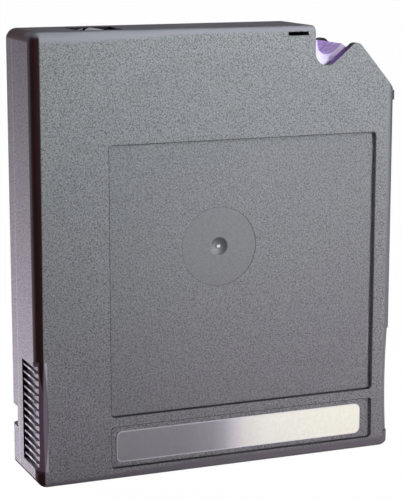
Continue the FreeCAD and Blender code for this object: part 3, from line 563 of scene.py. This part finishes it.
# %% [markdown]
# Little light gets into the notch, behind the face and round the thumbwheel, so these walls are
# painted nearly black as shade. The notch has one slanted wall, whose foot gets a painted purple
# reflection of the leader block beside it.

# %% Masks for the dark places
NOTCH_LEFT = shell_high.x - 27 * MM
NOTCH_FOOT = shell_high.z - 13 * MM
WINDOW_BESIDE = 6 * MM
WINDOW_DEPTH = 24 * MM


def notch_slant(tree, at):
    slanted = times(tree, ease(tree, at["facing"]["Z"], 0.3, 0.6),
                    ease(tree, at["facing"]["X"], -0.3, -0.6))
    in_notch = times(tree, ease(tree, at["x"], NOTCH_LEFT - MM, NOTCH_LEFT),
                     ease(tree, at["z"], NOTCH_FOOT - MM, NOTCH_FOOT))
    return times(tree, slanted, in_notch)


def lining(tree, at):
    behind = ease(tree, at["sunk"], FACE_DEPTH, FACE_DEPTH + 0.2 * MM)
    return times(tree, ease(tree, at["facing"]["Y"], -0.9, -0.98), behind)


def wheel_window(tree, at):
    beside = between(tree, at["x"], wheel_low.x - WINDOW_BESIDE, wheel_high.x + WINDOW_BESIDE)
    below_top = ease(tree, at["z"], back_high.z - 0.1 * MM, back_high.z - 0.3 * MM)
    within = between(tree, at["sunk"], FACE_DEPTH, WINDOW_DEPTH)
    from_crest = math_node(tree, "ABSOLUTE", math_node(tree, "SUBTRACT", at["x"], wheel_middle.x))
    return times(tree, beside, below_top, within, ease(tree, from_crest, 1.5 * MM, 5.0 * MM))


# %% [markdown]
# The crests of the grip's ribs, and the flanks next to them, get a pale painted highlight,
# while the hollows between the ribs are painted black as shade. The case's side is scooped out
# along the grip, and the rounded edge there is painted paler as lit, with a wedge of painted
# shade at the upper end.

# %% Masks for the finger grips
GRIP_LOW, GRIP_HIGH = 5.0 * MM, 34.5 * MM
GRIP_NEAR, GRIP_FAR = 1.8 * MM, 13.2 * MM
RIB_CREST, RIB_FLANK, RIB_FOOT = 0.25 * MM, 0.5 * MM, 1.6 * MM
SCOOP_LOW, SCOOP_HIGH = 4.5 * MM, 35.6 * MM
WEDGE_LOW, WEDGE_HIGH = 23 * MM, 34 * MM
WEDGE_WIDTH = 1.3 * MM


def grip_masks(tree, at):
    inward = math_node(tree, "MINIMUM", at["left gap"], at["right gap"])
    grip = times(tree, between(tree, at["z"], GRIP_LOW, GRIP_HIGH),
                 between(tree, at["sunk"], GRIP_NEAR, GRIP_FAR))
    # painted shade: the hollows between the ribs
    rib_hollow_shade = times(tree, between(tree, inward, RIB_FLANK, RIB_FOOT, 0.05 * MM), grip,
                   ease(tree, at["sunk"], 4.2 * MM, 8.0 * MM))
    crests = times(tree, between(tree, inward, RIB_CREST, 0.42 * MM, 0.04 * MM),
                   ease(tree, at["sunk"], 11 * MM, 4 * MM))
    flanks = times(tree, between(tree, inward, RIB_CREST, RIB_FOOT, 0.04 * MM),
                   between(tree, at["sunk"], 7.0 * MM, 8.5 * MM, 0.7 * MM))
    # painted highlight on the rib crests and flanks
    rib_highlights = times(tree, most(tree, crests, flanks), grip,
                   ease(tree, at["sunk"], 5.5 * MM, 7.0 * MM))
    return rib_hollow_shade, rib_highlights


def edge_colour(tree, at, scooped):
    """Near black painted shade on the left, and painted light in the scoop and on the right."""
    wedge = math_node(tree, "MULTIPLY_ADD", ease(tree, at["z"], WEDGE_LOW, WEDGE_HIGH),
                      WEDGE_WIDTH, at["left gap"])
    # painted light on the scooped edge, leaving a wedge of painted shade at its upper end
    lit_scoop = times(tree, scooped, ease(tree, wedge, 2.75 * MM, 2.45 * MM))
    left_edge = paint(tree, POLISHED_IN_SHADE, lit_scoop, SCOOP_LIT)
    # painted light on the right edge, with painted shade on its outermost part
    outermost = ease(tree, at["right gap"], 2.4 * MM, 0.7 * MM)
    lit_right = paint(tree, RIGHT_EDGE_LIT, outermost, SHADED_EDGE)
    # painted shade on the lower part of the right edge
    right_edge = paint(tree, LOW_EDGE_SHADE, at["upper"], lit_right)
    on_right = ease(tree, at["x"], shell_high.x - 6 * MM, shell_high.x - 4 * MM)
    return paint(tree, left_edge, times(tree, on_right, at["near face"]), right_edge)


# %% [markdown]
# The plastic entered the mould in the middle of the disc. A dimple keeps the scar of the gate
# below the face. The dimple gets painted shade on its upper right side, and the scar a painted
# highlight, a pale dot.

# %% Masks for the dimple in the disc
DIMPLE_LIT = 1.9 * MM
LIT_SHIFT = Vector((-1.1 * MM, 0, -0.9 * MM))
GATE_HIGHLIGHT_HALF = (0.45 * MM, 0, 0.35 * MM)


def dimple_masks(tree, at, in_disc):
    dimple = times(tree, in_disc, ease(tree, at["sunk"], 1.25 * MM, 1.4 * MM))
    lit = outline(tree, disc_centre + LIT_SHIFT, (DIMPLE_LIT, 0, DIMPLE_LIT), DIMPLE_LIT)
    # painted shade on the dimple's upper right side
    crescent = times(tree, dimple, ease(tree, lit, -1.2 * MM, 1.4 * MM))
    dot = outline(tree, disc_centre, GATE_HIGHLIGHT_HALF, GATE_HIGHLIGHT_HALF[2])
    # painted highlight on the gate's scar
    gate_highlight = times(tree, ease(tree, dot, 0.15 * MM, -0.1 * MM), in_disc)
    return dimple, crescent, gate_highlight


# %% [markdown]
# Now the colours go on in order, from the walls to the dust, each over the last. Polish also
# takes away roughness and grain. The specular level is low, because spark-eroded plastic looks
# dull even where it faces a lamp.

# %% Case plastic
def case_colour(tree, at, fleck):
    in_recess, in_disc, step_shade_lines = sunk_places(tree, at)
    colour, smooth = grained_walls(tree, at, fleck, in_recess, in_disc)
    rim, edge = level_edge(tree, at), upright_edge(tree, at)
    # painted sheen along the top edge, painted shade along the bottom edge
    sheen_and_shade_band = paint(tree, LOW_EDGE_SHADE, at["upper"], TOP_EDGE_SHEEN)
    colour = paint(tree, colour, times(tree, rim, at["near face"]), sheen_and_shade_band)
    # painted highlight along the parting seam
    seam_highlight = line_at(tree, math_node(tree, "SUBTRACT", at["y"], parting_y), 0.25 * MM)
    colour = paint(tree, colour, seam_highlight, PAINTED_HIGHLIGHT, 0.35)
    # painted shade on the top side
    colour = paint(tree, colour, ease(tree, at["facing"]["Z"], 0.9, 0.99), TOP_SIDE_SHADE, 0.75)
    rib_hollow_shade, rib_highlights = grip_masks(tree, at)
    # painted highlights on the grip's ribs
    colour = paint(tree, colour, rib_highlights, PAINTED_HIGHLIGHT, 0.75)
    # painted shade lines along the steps
    colour = paint(tree, colour, step_shade_lines, PAINTED_SHADE, 0.85)
    slant = notch_slant(tree, at)
    # painted shade, nearly black, in the notch, behind the face, between the ribs and round the
    # wheel
    dark = most(tree, slant, lining(tree, at), rib_hollow_shade, wheel_window(tree, at))
    colour = paint(tree, colour, dark, SHADE_INSIDE)
    scooped = times(tree, between(tree, at["z"], SCOOP_LOW, SCOOP_HIGH, 0.3 * MM), at["near face"])
    # painted highlight along the rim of the scoop
    scoop_rim_highlight = times(tree, between(tree, at["left gap"], 2.3 * MM, 3.2 * MM), scooped)
    colour = paint(tree, colour, scoop_rim_highlight, SCOOP_RIM_HIGHLIGHT, 0.8)
    # painted purple reflection at the foot of the notch's slanted wall
    foot = ease(tree, at["z"], shell_high.z - 5 * MM, shell_high.z - 8.5 * MM)
    colour = paint(tree, colour, times(tree, foot, slant), PURPLE_REFLECTION)
    colour = paint(tree, colour, edge, edge_colour(tree, at, scooped))
    dimple, crescent, gate_highlight = dimple_masks(tree, at, in_disc)
    # painted shade on the dimple's upper right side
    colour = paint(tree, colour, crescent, PAINTED_SHADE, 0.68)
    # painted highlight on the gate's scar
    colour = paint(tree, colour, gate_highlight, GATE_HIGHLIGHT)
    return colour, {"smooth": smooth, "rim": rim, "edge": edge, "dimple": dimple}


def case_plastic():
    material, tree, shader = start_material("case_plastic", Specular_IOR_Level=0.06)
    grain = use(tree, GRAIN, Pitch=0.36 * MM, Softness=0.5)
    colour, masks = case_colour(tree, case_point(tree), grain["Fleck"])
    dust = use(tree, DUST, Amount=0.1, Patch=0.018)["Mask"]
    connect(tree, paint(tree, colour, dust, DUST_GREY), shader.inputs["Base Color"])
    gloss = most(tree, times(tree, masks["edge"], 0.25), times(tree, masks["dimple"], 0.6))
    connect(tree, math_node(tree, "SUBTRACT", 0.85, gloss), shader.inputs["Roughness"])
    level = times(tree, apart_from(tree, masks["smooth"]),
                  apart_from(tree, most(tree, masks["edge"], masks["rim"])))
    roughen(tree, shader, times(tree, grain["Height"], level), 0.08 * MM, 0.6)
    print(material.name, "has", len(tree.nodes), "nodes")
    return material


case_material = case_plastic()
finish_node("top_shell", case_material)
finish_node("bottom_shell", case_material)

# %% [markdown]
# ### Printed foil
#
# The label is a strip of printed foil with round corners. Its print is grey at the left, turns
# pale over a short stretch past the middle, and stays cream to the right end. A colour ramp
# along X paints it, and a thin paler line follows the border. Words are left off.

# %% Label foil
FOIL_STOPS = (
    (0.0, (0.174, 0.17, 0.186, 1)), (0.27, (0.172, 0.168, 0.184, 1)),
    (0.38, (0.215, 0.21, 0.23, 1)), (0.43, (0.31, 0.305, 0.335, 1)),
    (0.47, (0.5, 0.475, 0.52, 1)), (0.51, (0.64, 0.63, 0.58, 1)),
    (0.6, (0.745, 0.75, 0.67, 1)), (1.0, (0.765, 0.775, 0.645, 1)),
)
FOIL_BORDER = (0.62, 0.6, 0.66, 1)
FOIL_CORNER = 1.8 * MM


def paint_stops(ramp, stops):
    """The first and the last stop are there already, and the others come in between."""
    ends = ramp.color_ramp.elements
    ends[0].position, ends[0].color = stops[0]
    ends[1].position, ends[1].color = stops[-1]
    for position, colour in stops[1:-1]:
        ends.new(position).color = colour


def label_foil():
    material, tree, shader = start_material("label_foil", Specular_IOR_Level=0.5, Roughness=0.38)
    parts = add(tree, "SeparateXYZ", {0: place(tree)}).outputs
    straight = add(tree, "MapRange", {
        "Value": parts["X"], "From Min": label_low.x, "From Max": label_high.x,
    }).outputs["Result"]
    ramp = add(tree, "ValToRGB", {0: straight})
    paint_stops(ramp, FOIL_STOPS)
    speck = add(tree, "TexNoise", {"Vector": place(tree), "Scale": 900.0, "Detail": 3.0})
    tint = add(tree, "MapRange", {"Value": speck.outputs[0], "To Min": 0.9, "To Max": 1.08})
    grey = add(tree, "CombineXYZ", {axis: tint.outputs[0] for axis in range(3)}).outputs[0]
    colour = blend_colours(tree, 1.0, ramp.outputs[0], grey, "MULTIPLY")
    border = outline(tree, label_middle, (label_high - label_low) / 2, FOIL_CORNER)
    rim = ease(tree, border, -0.45 * MM, -0.2 * MM)
    colour = paint(tree, colour, rim, FOIL_BORDER, 0.42)
    connect(tree, colour, shader.inputs["Base Color"])
    wave = add(tree, "TexNoise", {"Vector": place(tree), "Scale": 120.0, "Detail": 1.0})
    roughen(tree, shader, wave.outputs[0], 0.05 * MM, 0.3)
    return material


finish_node("label", label_foil())

# %% [markdown]
# ### Leader block plastic
#
# The leader block is moulded in a lavender plastic that lets a little light in, so its shaded
# walls stay coloured instead of going grey. A short subsurface radius does that. Faint flow
# lines and scuffs from the drive's threading pin vary the walls. The bevels round its slot are
# greyer. The one that leans towards the pin is painted palest as a highlight, and its outer lip
# is painted deep purple as shade.
# The pin that holds the tape's end is of the same plastic.

# %% Leader plastic
block_low, _, _ = box("leader_block")
LEADER_DEEP = (0.32, 0.16, 0.6, 1)
LEADER_PALE = (0.72, 0.5, 0.92, 1)
LEADER_BEVEL = (0.44, 0.37, 0.54, 1)
# painted highlight: the bevel that faces the light
LEADER_LIT_BEVEL = (0.85, 0.72, 0.98, 1)
# painted shade on the outer lip
LEADER_LIP_SHADE = (0.24, 0.12, 0.46, 1)


def leader_plastic():
    material, tree, shader = start_material(
        "leader_plastic", Roughness=0.36, Specular_IOR_Level=0.5,
        Subsurface_Weight=0.25, Subsurface_Scale=1.2 * MM, Subsurface_Radius=(1.0, 0.6, 1.2),
    )
    flow = add(tree, "TexNoise", {"Vector": place(tree), "Scale": 260.0, "Detail": 4.0,
                                  "Distortion": 1.5})
    facing = add(tree, "SeparateXYZ", {0: add(tree, "NewGeometry").outputs["True Normal"]}).outputs
    bevelled = ease(tree, math_node(tree, "ABSOLUTE", facing["Y"]), 0.2, 0.6)
    lit_bevel = times(tree, ease(tree, facing["X"], 0.0, -0.4), bevelled)
    depth = math_node(tree, "SUBTRACT", add(tree, "SeparateXYZ", {0: place(tree)}).outputs["Y"],
                      block_low.y)
    colour = paint(tree, LEADER_DEEP, ease(tree, flow.outputs[0], 0.35, 0.65), LEADER_PALE, 0.5)
    colour = paint(tree, colour, bevelled, LEADER_BEVEL)
    # painted highlight on the bevel that faces the light
    colour = paint(tree, colour, lit_bevel, LEADER_LIT_BEVEL)
    # painted shade on the outer lip
    shaded_lip = times(tree, lit_bevel, ease(tree, depth, 0.65 * MM, 0.35 * MM))
    colour = paint(tree, colour, shaded_lip, LEADER_LIP_SHADE)
    connect(tree, colour, shader.inputs["Base Color"])
    grain = use(tree, GRAIN, Pitch=0.35 * MM, Softness=0.6)
    roughen(tree, shader, grain["Height"], 0.02 * MM, 0.4)
    return material


leader_material = leader_plastic()
finish_node("leader_block", leader_material)
finish_node("leader_pin", leader_material)

# %% [markdown]
# ### Reel, brake and thumbwheel plastics
#
# These share one recipe with their own colours: a base colour with a slow mottle, fine grain,
# and a little dust. The reel is pale grey, the brake button natural nylon, and the thumbwheel
# the colour of the case but smoother. A function with arguments makes all three.

# %% Plain moulded plastics
def moulded(name, dark, light, roughness, pitch, dusty):
    material, tree, shader = start_material(name, Roughness=roughness, Specular_IOR_Level=0.45)
    mottle = add(tree, "TexNoise", {"Vector": place(tree), "Scale": 90.0, "Detail": 4.0})
    colour = blend_colours(tree, ease(tree, mottle.outputs[0], 0.3, 0.7), dark, light)
    dust = use(tree, DUST, Amount=dusty, Patch=0.01)["Mask"]
    connect(tree, paint(tree, colour, dust, DUST_GREY), shader.inputs["Base Color"])
    grain = use(tree, GRAIN, Pitch=pitch, Softness=0.6)
    roughen(tree, shader, grain["Height"], 0.03 * MM, 0.5)
    return material


reel_material = moulded("reel_plastic", (0.5, 0.5, 0.49, 1), (0.58, 0.58, 0.57, 1),
                        roughness=0.4, pitch=0.5 * MM, dusty=0.1)
brake_material = moulded("brake_nylon", (0.68, 0.66, 0.6, 1), (0.76, 0.74, 0.69, 1),
                         roughness=0.34, pitch=0.4 * MM, dusty=0.05)
wheel_material = moulded("wheel_plastic", (0.2, 0.2, 0.21, 1), (0.27, 0.27, 0.28, 1),
                         roughness=0.6, pitch=0.45 * MM, dusty=0.15)
for node in ("reel_hub", "upper_flange"):
    finish_node(node, reel_material)
finish_node("brake_button", brake_material)
finish_node("file_protect_wheel", wheel_material)

# %% [markdown]
# ### Steel
#
# The hub insert is ground flat, the screws are blackened and the spring is drawn wire. All are
# metal, so the colour is that of the reflection. Fine turning marks are rings of noise that
# depend only on the distance to the reel's axis.

# %% Steel finishes
WORN_SHARE = 0.8


def axis_distance(tree):
    """How far a point is from the reel's axis, which runs along Y."""
    offset = add(tree, "VectorMath", {0: place(tree), 1: tuple(hub_middle)}, operation="SUBTRACT")
    flat = add(tree, "VectorMath", {0: offset.outputs[0], 1: (1, 0, 1)}, operation="MULTIPLY")
    return add(tree, "VectorMath", {0: flat.outputs[0]}, operation="LENGTH").outputs["Value"]


def rings_of_noise(tree, pitch, detail):
    """Noise that changes only with the distance to the reel's axis."""
    turn = math_node(tree, "DIVIDE", axis_distance(tree), pitch)
    rings = add(tree, "TexNoise", {"W": turn, "Scale": 1.0, "Detail": detail},
                noise_dimensions="1D")
    return rings.outputs[0]


def steel(name, colour, roughness, ring_pitch):
    material, tree, shader = start_material(name, Metallic=1.0)
    spots = add(tree, "TexNoise", {"Vector": place(tree), "Scale": 400.0, "Detail": 4.0})
    worn = ease(tree, spots.outputs[0], 0.35, 0.75)
    dark = tuple(WORN_SHARE * part for part in colour[:3]) + (1,)
    connect(tree, blend_colours(tree, worn, colour, dark), shader.inputs["Base Color"])
    rougher = math_node(tree, "MULTIPLY_ADD", worn, 0.15, roughness)
    connect(tree, rougher, shader.inputs["Roughness"])
    roughen(tree, shader, rings_of_noise(tree, ring_pitch, 3.0), 0.01 * MM, 0.5)
    return material


insert_material = steel("insert_steel", (0.62, 0.62, 0.63, 1), roughness=0.28,
                        ring_pitch=0.15 * MM)
screw_material = steel("screw_steel", (0.2, 0.2, 0.21, 1), roughness=0.4, ring_pitch=0.2 * MM)
spring_material = steel("spring_steel", (0.5, 0.5, 0.52, 1), roughness=0.3, ring_pitch=0.3 * MM)
finish_node("hub_insert", insert_material)
finish_node("case_screws", screw_material)

# %% [markdown]
# ### Tape
#
# Half-inch tape is a dark brown film with a gloss on the coated side. Seen from the flanges a
# pack is thousands of turns, which show as fine rings that vary slightly in width. They come
# from the distance to the reel's axis. The free ribbon is of the same film.

# %% Tape film
TAPE_DARK = (0.014, 0.011, 0.010, 1)
TAPE_BROWN = (0.035, 0.026, 0.022, 1)
TURN_PITCH = 0.12 * MM


def tape_film():
    material, tree, shader = start_material("tape_film", Specular_IOR_Level=0.6)
    turns = rings_of_noise(tree, TURN_PITCH, 4.0)
    share = ease(tree, turns, 0.3, 0.7)
    colour = blend_colours(tree, share, TAPE_DARK, TAPE_BROWN)
    connect(tree, colour, shader.inputs["Base Color"])
    connect(tree, math_node(tree, "MULTIPLY_ADD", share, 0.12, 0.22), shader.inputs["Roughness"])
    roughen(tree, shader, turns, 0.02 * MM, 0.4)
    return material


tape_material = tape_film()
finish_node("tape_pack", tape_material)

# %% [markdown]
# ## The thumbwheel
#
# The file-protect wheel is turned with a fingertip, so its crest stands almost flush with the
# top of the case. The CAD wheel sits a little deeper. Here the wheel is a copy of that shape
# whose rim is let out from the axle. The growth fades out halfway to the axle, which keeps its
# size.

# %% Let the rim of the wheel out
RIM_GROWTH = 0.3 * MM
RIM_START = 0.5
wheel_reach = (wheel_high.x - wheel_low.x) / 2
axle_line = Vector((wheel_middle.x, 0, wheel_high.z - wheel_reach))
wheel_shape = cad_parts["file_protect_wheel"].data.copy()
for point in wheel_shape.vertices:
    away = Vector((point.co.x, 0, point.co.z)) - axle_line
    share = min(1, max(0, away.length / wheel_reach - RIM_START) / (1 - RIM_START))
    point.co += away.normalized() * RIM_GROWTH * share
thumbwheel = bpy.data.objects.new("thumbwheel", wheel_shape)
bpy.context.scene.collection.objects.link(thumbwheel)
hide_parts("file_protect_wheel")
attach(thumbwheel, "selector")
print("thumbwheel crest is", round((shell_high.z - wheel_high.z - RIM_GROWTH) / MM, 2), "mm deep")

# %% [markdown]
# ## The free run of tape
#
# From the outer turn of the pack the tape runs straight to the pin in the leader block and
# wraps round it. CAD can only draw that as a stiff strip. Here it is a ribbon of film: a path
# that leaves the pack on its tangent, meets the pin on the pin's tangent and goes round it.

# %% Path of the ribbon
pack_low, pack_high, pack_middle = box("tape_pack")
_, _, pin_middle = box("leader_pin")
strip_low, strip_high, _ = box("tape_leader")
FILM = 0.06 * MM
STEPS_ALONG = 24
STEPS_ROUND = 28
STEPS_ACROSS = 6
pack_radius = (pack_high.x - pack_low.x) / 2
wrap_radius = (strip_high.z - pin_middle.z) - FILM


def tangent_angle():
    """The angle of the normal to the line that touches the pack and the pin on one side."""
    away = pin_middle - pack_middle
    reach = math.hypot(away.x, away.z)
    swing = math.acos((pack_radius - wrap_radius) / reach)
    return math.atan2(away.z, away.x) - swing


def round_point(centre, radius, angle):
    return Vector((centre.x + radius * math.cos(angle), 0, centre.z + radius * math.sin(angle)))


WRAP = math.radians(190)
leave = tangent_angle()
first = round_point(pack_middle, pack_radius + FILM, leave)
last = round_point(pin_middle, wrap_radius, leave)
path = [first.lerp(last, step / STEPS_ALONG) for step in range(STEPS_ALONG)]
for step in range(STEPS_ROUND + 1):
    path.append(round_point(pin_middle, wrap_radius, leave + WRAP * step / STEPS_ROUND))
print("ribbon path:", len(path), "points,", round((last - first).length * 1000, 1), "mm free")

# %% Ribbon mesh
def ribbon(name, path, y_low, y_high):
    shape = bmesh.new()
    rows = []
    for point in path:
        row = []
        for step in range(STEPS_ACROSS + 1):
            y = y_low + (y_high - y_low) * step / STEPS_ACROSS
            row.append(shape.verts.new((point.x, y, point.z)))
        rows.append(row)
    for here, ahead in zip(rows, rows[1:]):
        for step in range(STEPS_ACROSS):
            shape.faces.new((here[step], here[step + 1], ahead[step + 1], ahead[step]))
    mesh = bpy.data.meshes.new(name)
    shape.to_mesh(mesh)
    shape.free()
    mesh.shade_smooth()
    piece = bpy.data.objects.new(name, mesh)
    bpy.context.scene.collection.objects.link(piece)
    return piece


tape_run = ribbon("tape_run", path, strip_low.y, strip_high.y)
thicken = tape_run.modifiers.new("film", "SOLIDIFY")
thicken.thickness = FILM
thicken.offset = 0
tape_run.data.materials.append(tape_material)
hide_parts("tape_leader")
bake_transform(tape_run)
print("tape_run has", len(tape_run.data.vertices), "points")

# %% [markdown]
# ## The brake spring
#
# The spring under the brake button is round wire. A helix as a curve with a bevel gives the wire
# its round section, and the curve is then converted to a mesh.

# %% Spring wire
coil_low, coil_high, coil_middle = box("brake_spring")
TURNS = 3.5
WIRE = 0.55 * MM
WIRE_DRAWN = 0.97 * WIRE
coil_radius = (coil_high.x - coil_low.x) / 2 - WIRE
coil_start = coil_low.y + WIRE
coil_rise = coil_high.y - WIRE - coil_start
POINTS_PER_TURN = 32

wire = bpy.data.curves.new("spring_wire", "CURVE")
wire.dimensions = "3D"
wire.bevel_depth = WIRE_DRAWN
wire.bevel_resolution = 4
wire.use_fill_caps = True
line = wire.splines.new("POLY")
count = int(TURNS * POINTS_PER_TURN) + 1
line.points.add(count - 1)
for index, point in enumerate(line.points):
    angle = 2 * math.pi * index / POINTS_PER_TURN
    y = coil_start + coil_rise * index / (count - 1)
    x = coil_middle.x + coil_radius * math.cos(angle)
    z = hub_middle.z - coil_radius * math.sin(angle)
    point.co = (x, y, z, 1)
print("spring wire has", count, "points")

# %% Spring
draft = bpy.data.objects.new("spring_draft", wire)
bpy.context.scene.collection.objects.link(draft)
bpy.context.view_layer.update()
solid = bpy.data.meshes.new_from_object(draft)
bpy.data.objects.remove(draft)
solid.shade_smooth()
coil = bpy.data.objects.new("brake_coil", solid)
bpy.context.scene.collection.objects.link(coil)
coil.data.materials.clear()
coil.data.materials.append(spring_material)
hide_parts("brake_spring")
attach(coil, "case")
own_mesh(coil)

# %% [markdown]
# ## The studio
#
# The cartridge stands in a room with a pale wall behind it, a darker side towards the camera and
# a dark ceiling. The room lights the walls that no lamp reaches. Rays that come straight from
# the camera, or by way of a mirror, see white instead, both in the sky and in the floor. So the
# ground is white, while the shadows on the case stay deep.

# %% Floor
FLOOR_HALF = 3.0
FLOOR_PAPER = (0.75, 0.71, 0.76, 1)
FLOOR_GLOW = 1.04
GLOW_SHARE = 0.95


def seen_directly(tree):
    """1 for rays from the camera, and for those that mirror or pass on what it sees."""
    rays = add(tree, "LightPath").outputs
    mirrored = math_node(tree, "MAXIMUM", rays["Is Glossy Ray"], rays["Is Transmission Ray"])
    return math_node(tree, "MAXIMUM", rays["Is Camera Ray"], mirrored)


def pale_floor():
    shape = bmesh.new()
    corners = [shape.verts.new((FLOOR_HALF * x, FLOOR_HALF * y, cad_low.z))
               for x, y in ((-1, -1), (1, -1), (1, 1), (-1, 1))]
    shape.faces.new(corners)
    mesh = bpy.data.meshes.new("floor")
    shape.to_mesh(mesh)
    shape.free()
    floor = bpy.data.objects.new("floor", mesh)
    bpy.context.scene.collection.objects.link(floor)
    material, tree, shader = start_material("floor_paper", Roughness=0.9, Specular_IOR_Level=0.1)
    shader.inputs["Base Color"].default_value = FLOOR_PAPER
    glow = add(tree, "Emission", {"Color": (1, 1, 1, 1), "Strength": FLOOR_GLOW})
    share = math_node(tree, "MULTIPLY", seen_directly(tree), GLOW_SHARE)
    mix = add(tree, "MixShader", {0: share, 1: shader.outputs[0], 2: glow.outputs[0]})
    connect(tree, mix.outputs[0], tree.nodes["Material Output"].inputs["Surface"])
    mesh.materials.append(material)
    return floor


pale_floor()
print("floor at", round(cad_low.z, 5))

# %% Sky
ROOM_NEAR = (0.11, 0.086, 0.114, 1)
ROOM_BEHIND = (0.43, 0.39, 0.45, 1)
ROOM_CEILING = (0.07, 0.063, 0.075, 1)

world = bpy.data.worlds.new("sky")
bpy.context.scene.world = world
world.use_nodes = True
sky = world.node_tree
way = add(sky, "SeparateXYZ", {0: add(sky, "TexCoord").outputs["Generated"]}).outputs
room = blend_colours(sky, ease(sky, way["Y"], -0.15, 0.35), ROOM_NEAR, ROOM_BEHIND)
room = blend_colours(sky, ease(sky, way["Z"], 0.15, 0.75), room, ROOM_CEILING)
ambient = add(sky, "Background", {"Color": room, "Strength": 1.0})
backdrop = add(sky, "Background", {"Color": (1, 1, 1, 1), "Strength": 1.0})
both = add(sky, "MixShader", {
    0: seen_directly(sky), 1: ambient.outputs[0], 2: backdrop.outputs[0],
})
connect(sky, both.outputs[0], sky.nodes["World Output"].inputs["Surface"])
print("sky has", len(sky.nodes), "nodes")

# %% [markdown]
# Five area lamps light the cartridge, and most have a narrow spread that works like a snoot.
# The key glances off the upper right of the label face, a low lamp fills in below it, and a
# broad one in front evens both out. A rim lamp reaches into the notch from above, and a lamp
# behind on the left lights the side but not the edge next to it. They are plain lamps that
# stand in the room, so the cartridge looks right from other sides too.

# %% Lamps
def lamp(name, where, aim, size_m, watts, spread_deg, colour):
    data = bpy.data.lights.new(name, "AREA")
    data.shape = "DISK"
    data.size = size_m
    data.energy = watts
    data.spread = math.radians(spread_deg)
    data.color = colour
    made = bpy.data.objects.new(name, data)
    made.location = where
    made.rotation_euler = (Vector(aim) - Vector(where)).to_track_quat("-Z", "Y").to_euler()
    bpy.context.scene.collection.objects.link(made)
    return made


upper_right = Vector((0.009, face_y, 0.175))
lower_right = Vector((0.055, face_y, 0.025))
lower_left = Vector((shell_low.x, shell_middle.y, -0.04))
notch = Vector((0.035, face_y, shell_high.z - 10 * MM))
lamp("key", (0.588, -0.84, 0.29), upper_right, size_m=0.12, watts=0.317, spread_deg=20.5,
     colour=(0.87, 1.0, 0.96))
lamp("low", (0.75, -0.8, 0.08), lower_right, size_m=0.12, watts=0.058, spread_deg=12.5,
     colour=(1.0, 0.9, 0.96))
lamp("front", (0.5, -1.0, 0.35), shell_middle, size_m=0.5, watts=0.165, spread_deg=180,
     colour=(1.0, 0.75, 1.0))
lamp("rim", (-0.4, -0.56, 0.72), notch, size_m=0.1, watts=0.02, spread_deg=14,
     colour=(0.97, 1.0, 1.0))
lamp("side", (-0.75, 0.72, 0.1), lower_left, size_m=0.2, watts=0.52, spread_deg=19,
     colour=(0.98, 0.9, 1.0))
print("lamps:", [item.name for item in bpy.data.lights])

# %% [markdown]
# ## Finish
#
# The view transform stays Standard, so that a colour renders about as it is written.

# %% Finish
bpy.context.scene.view_settings.view_transform = "Standard"
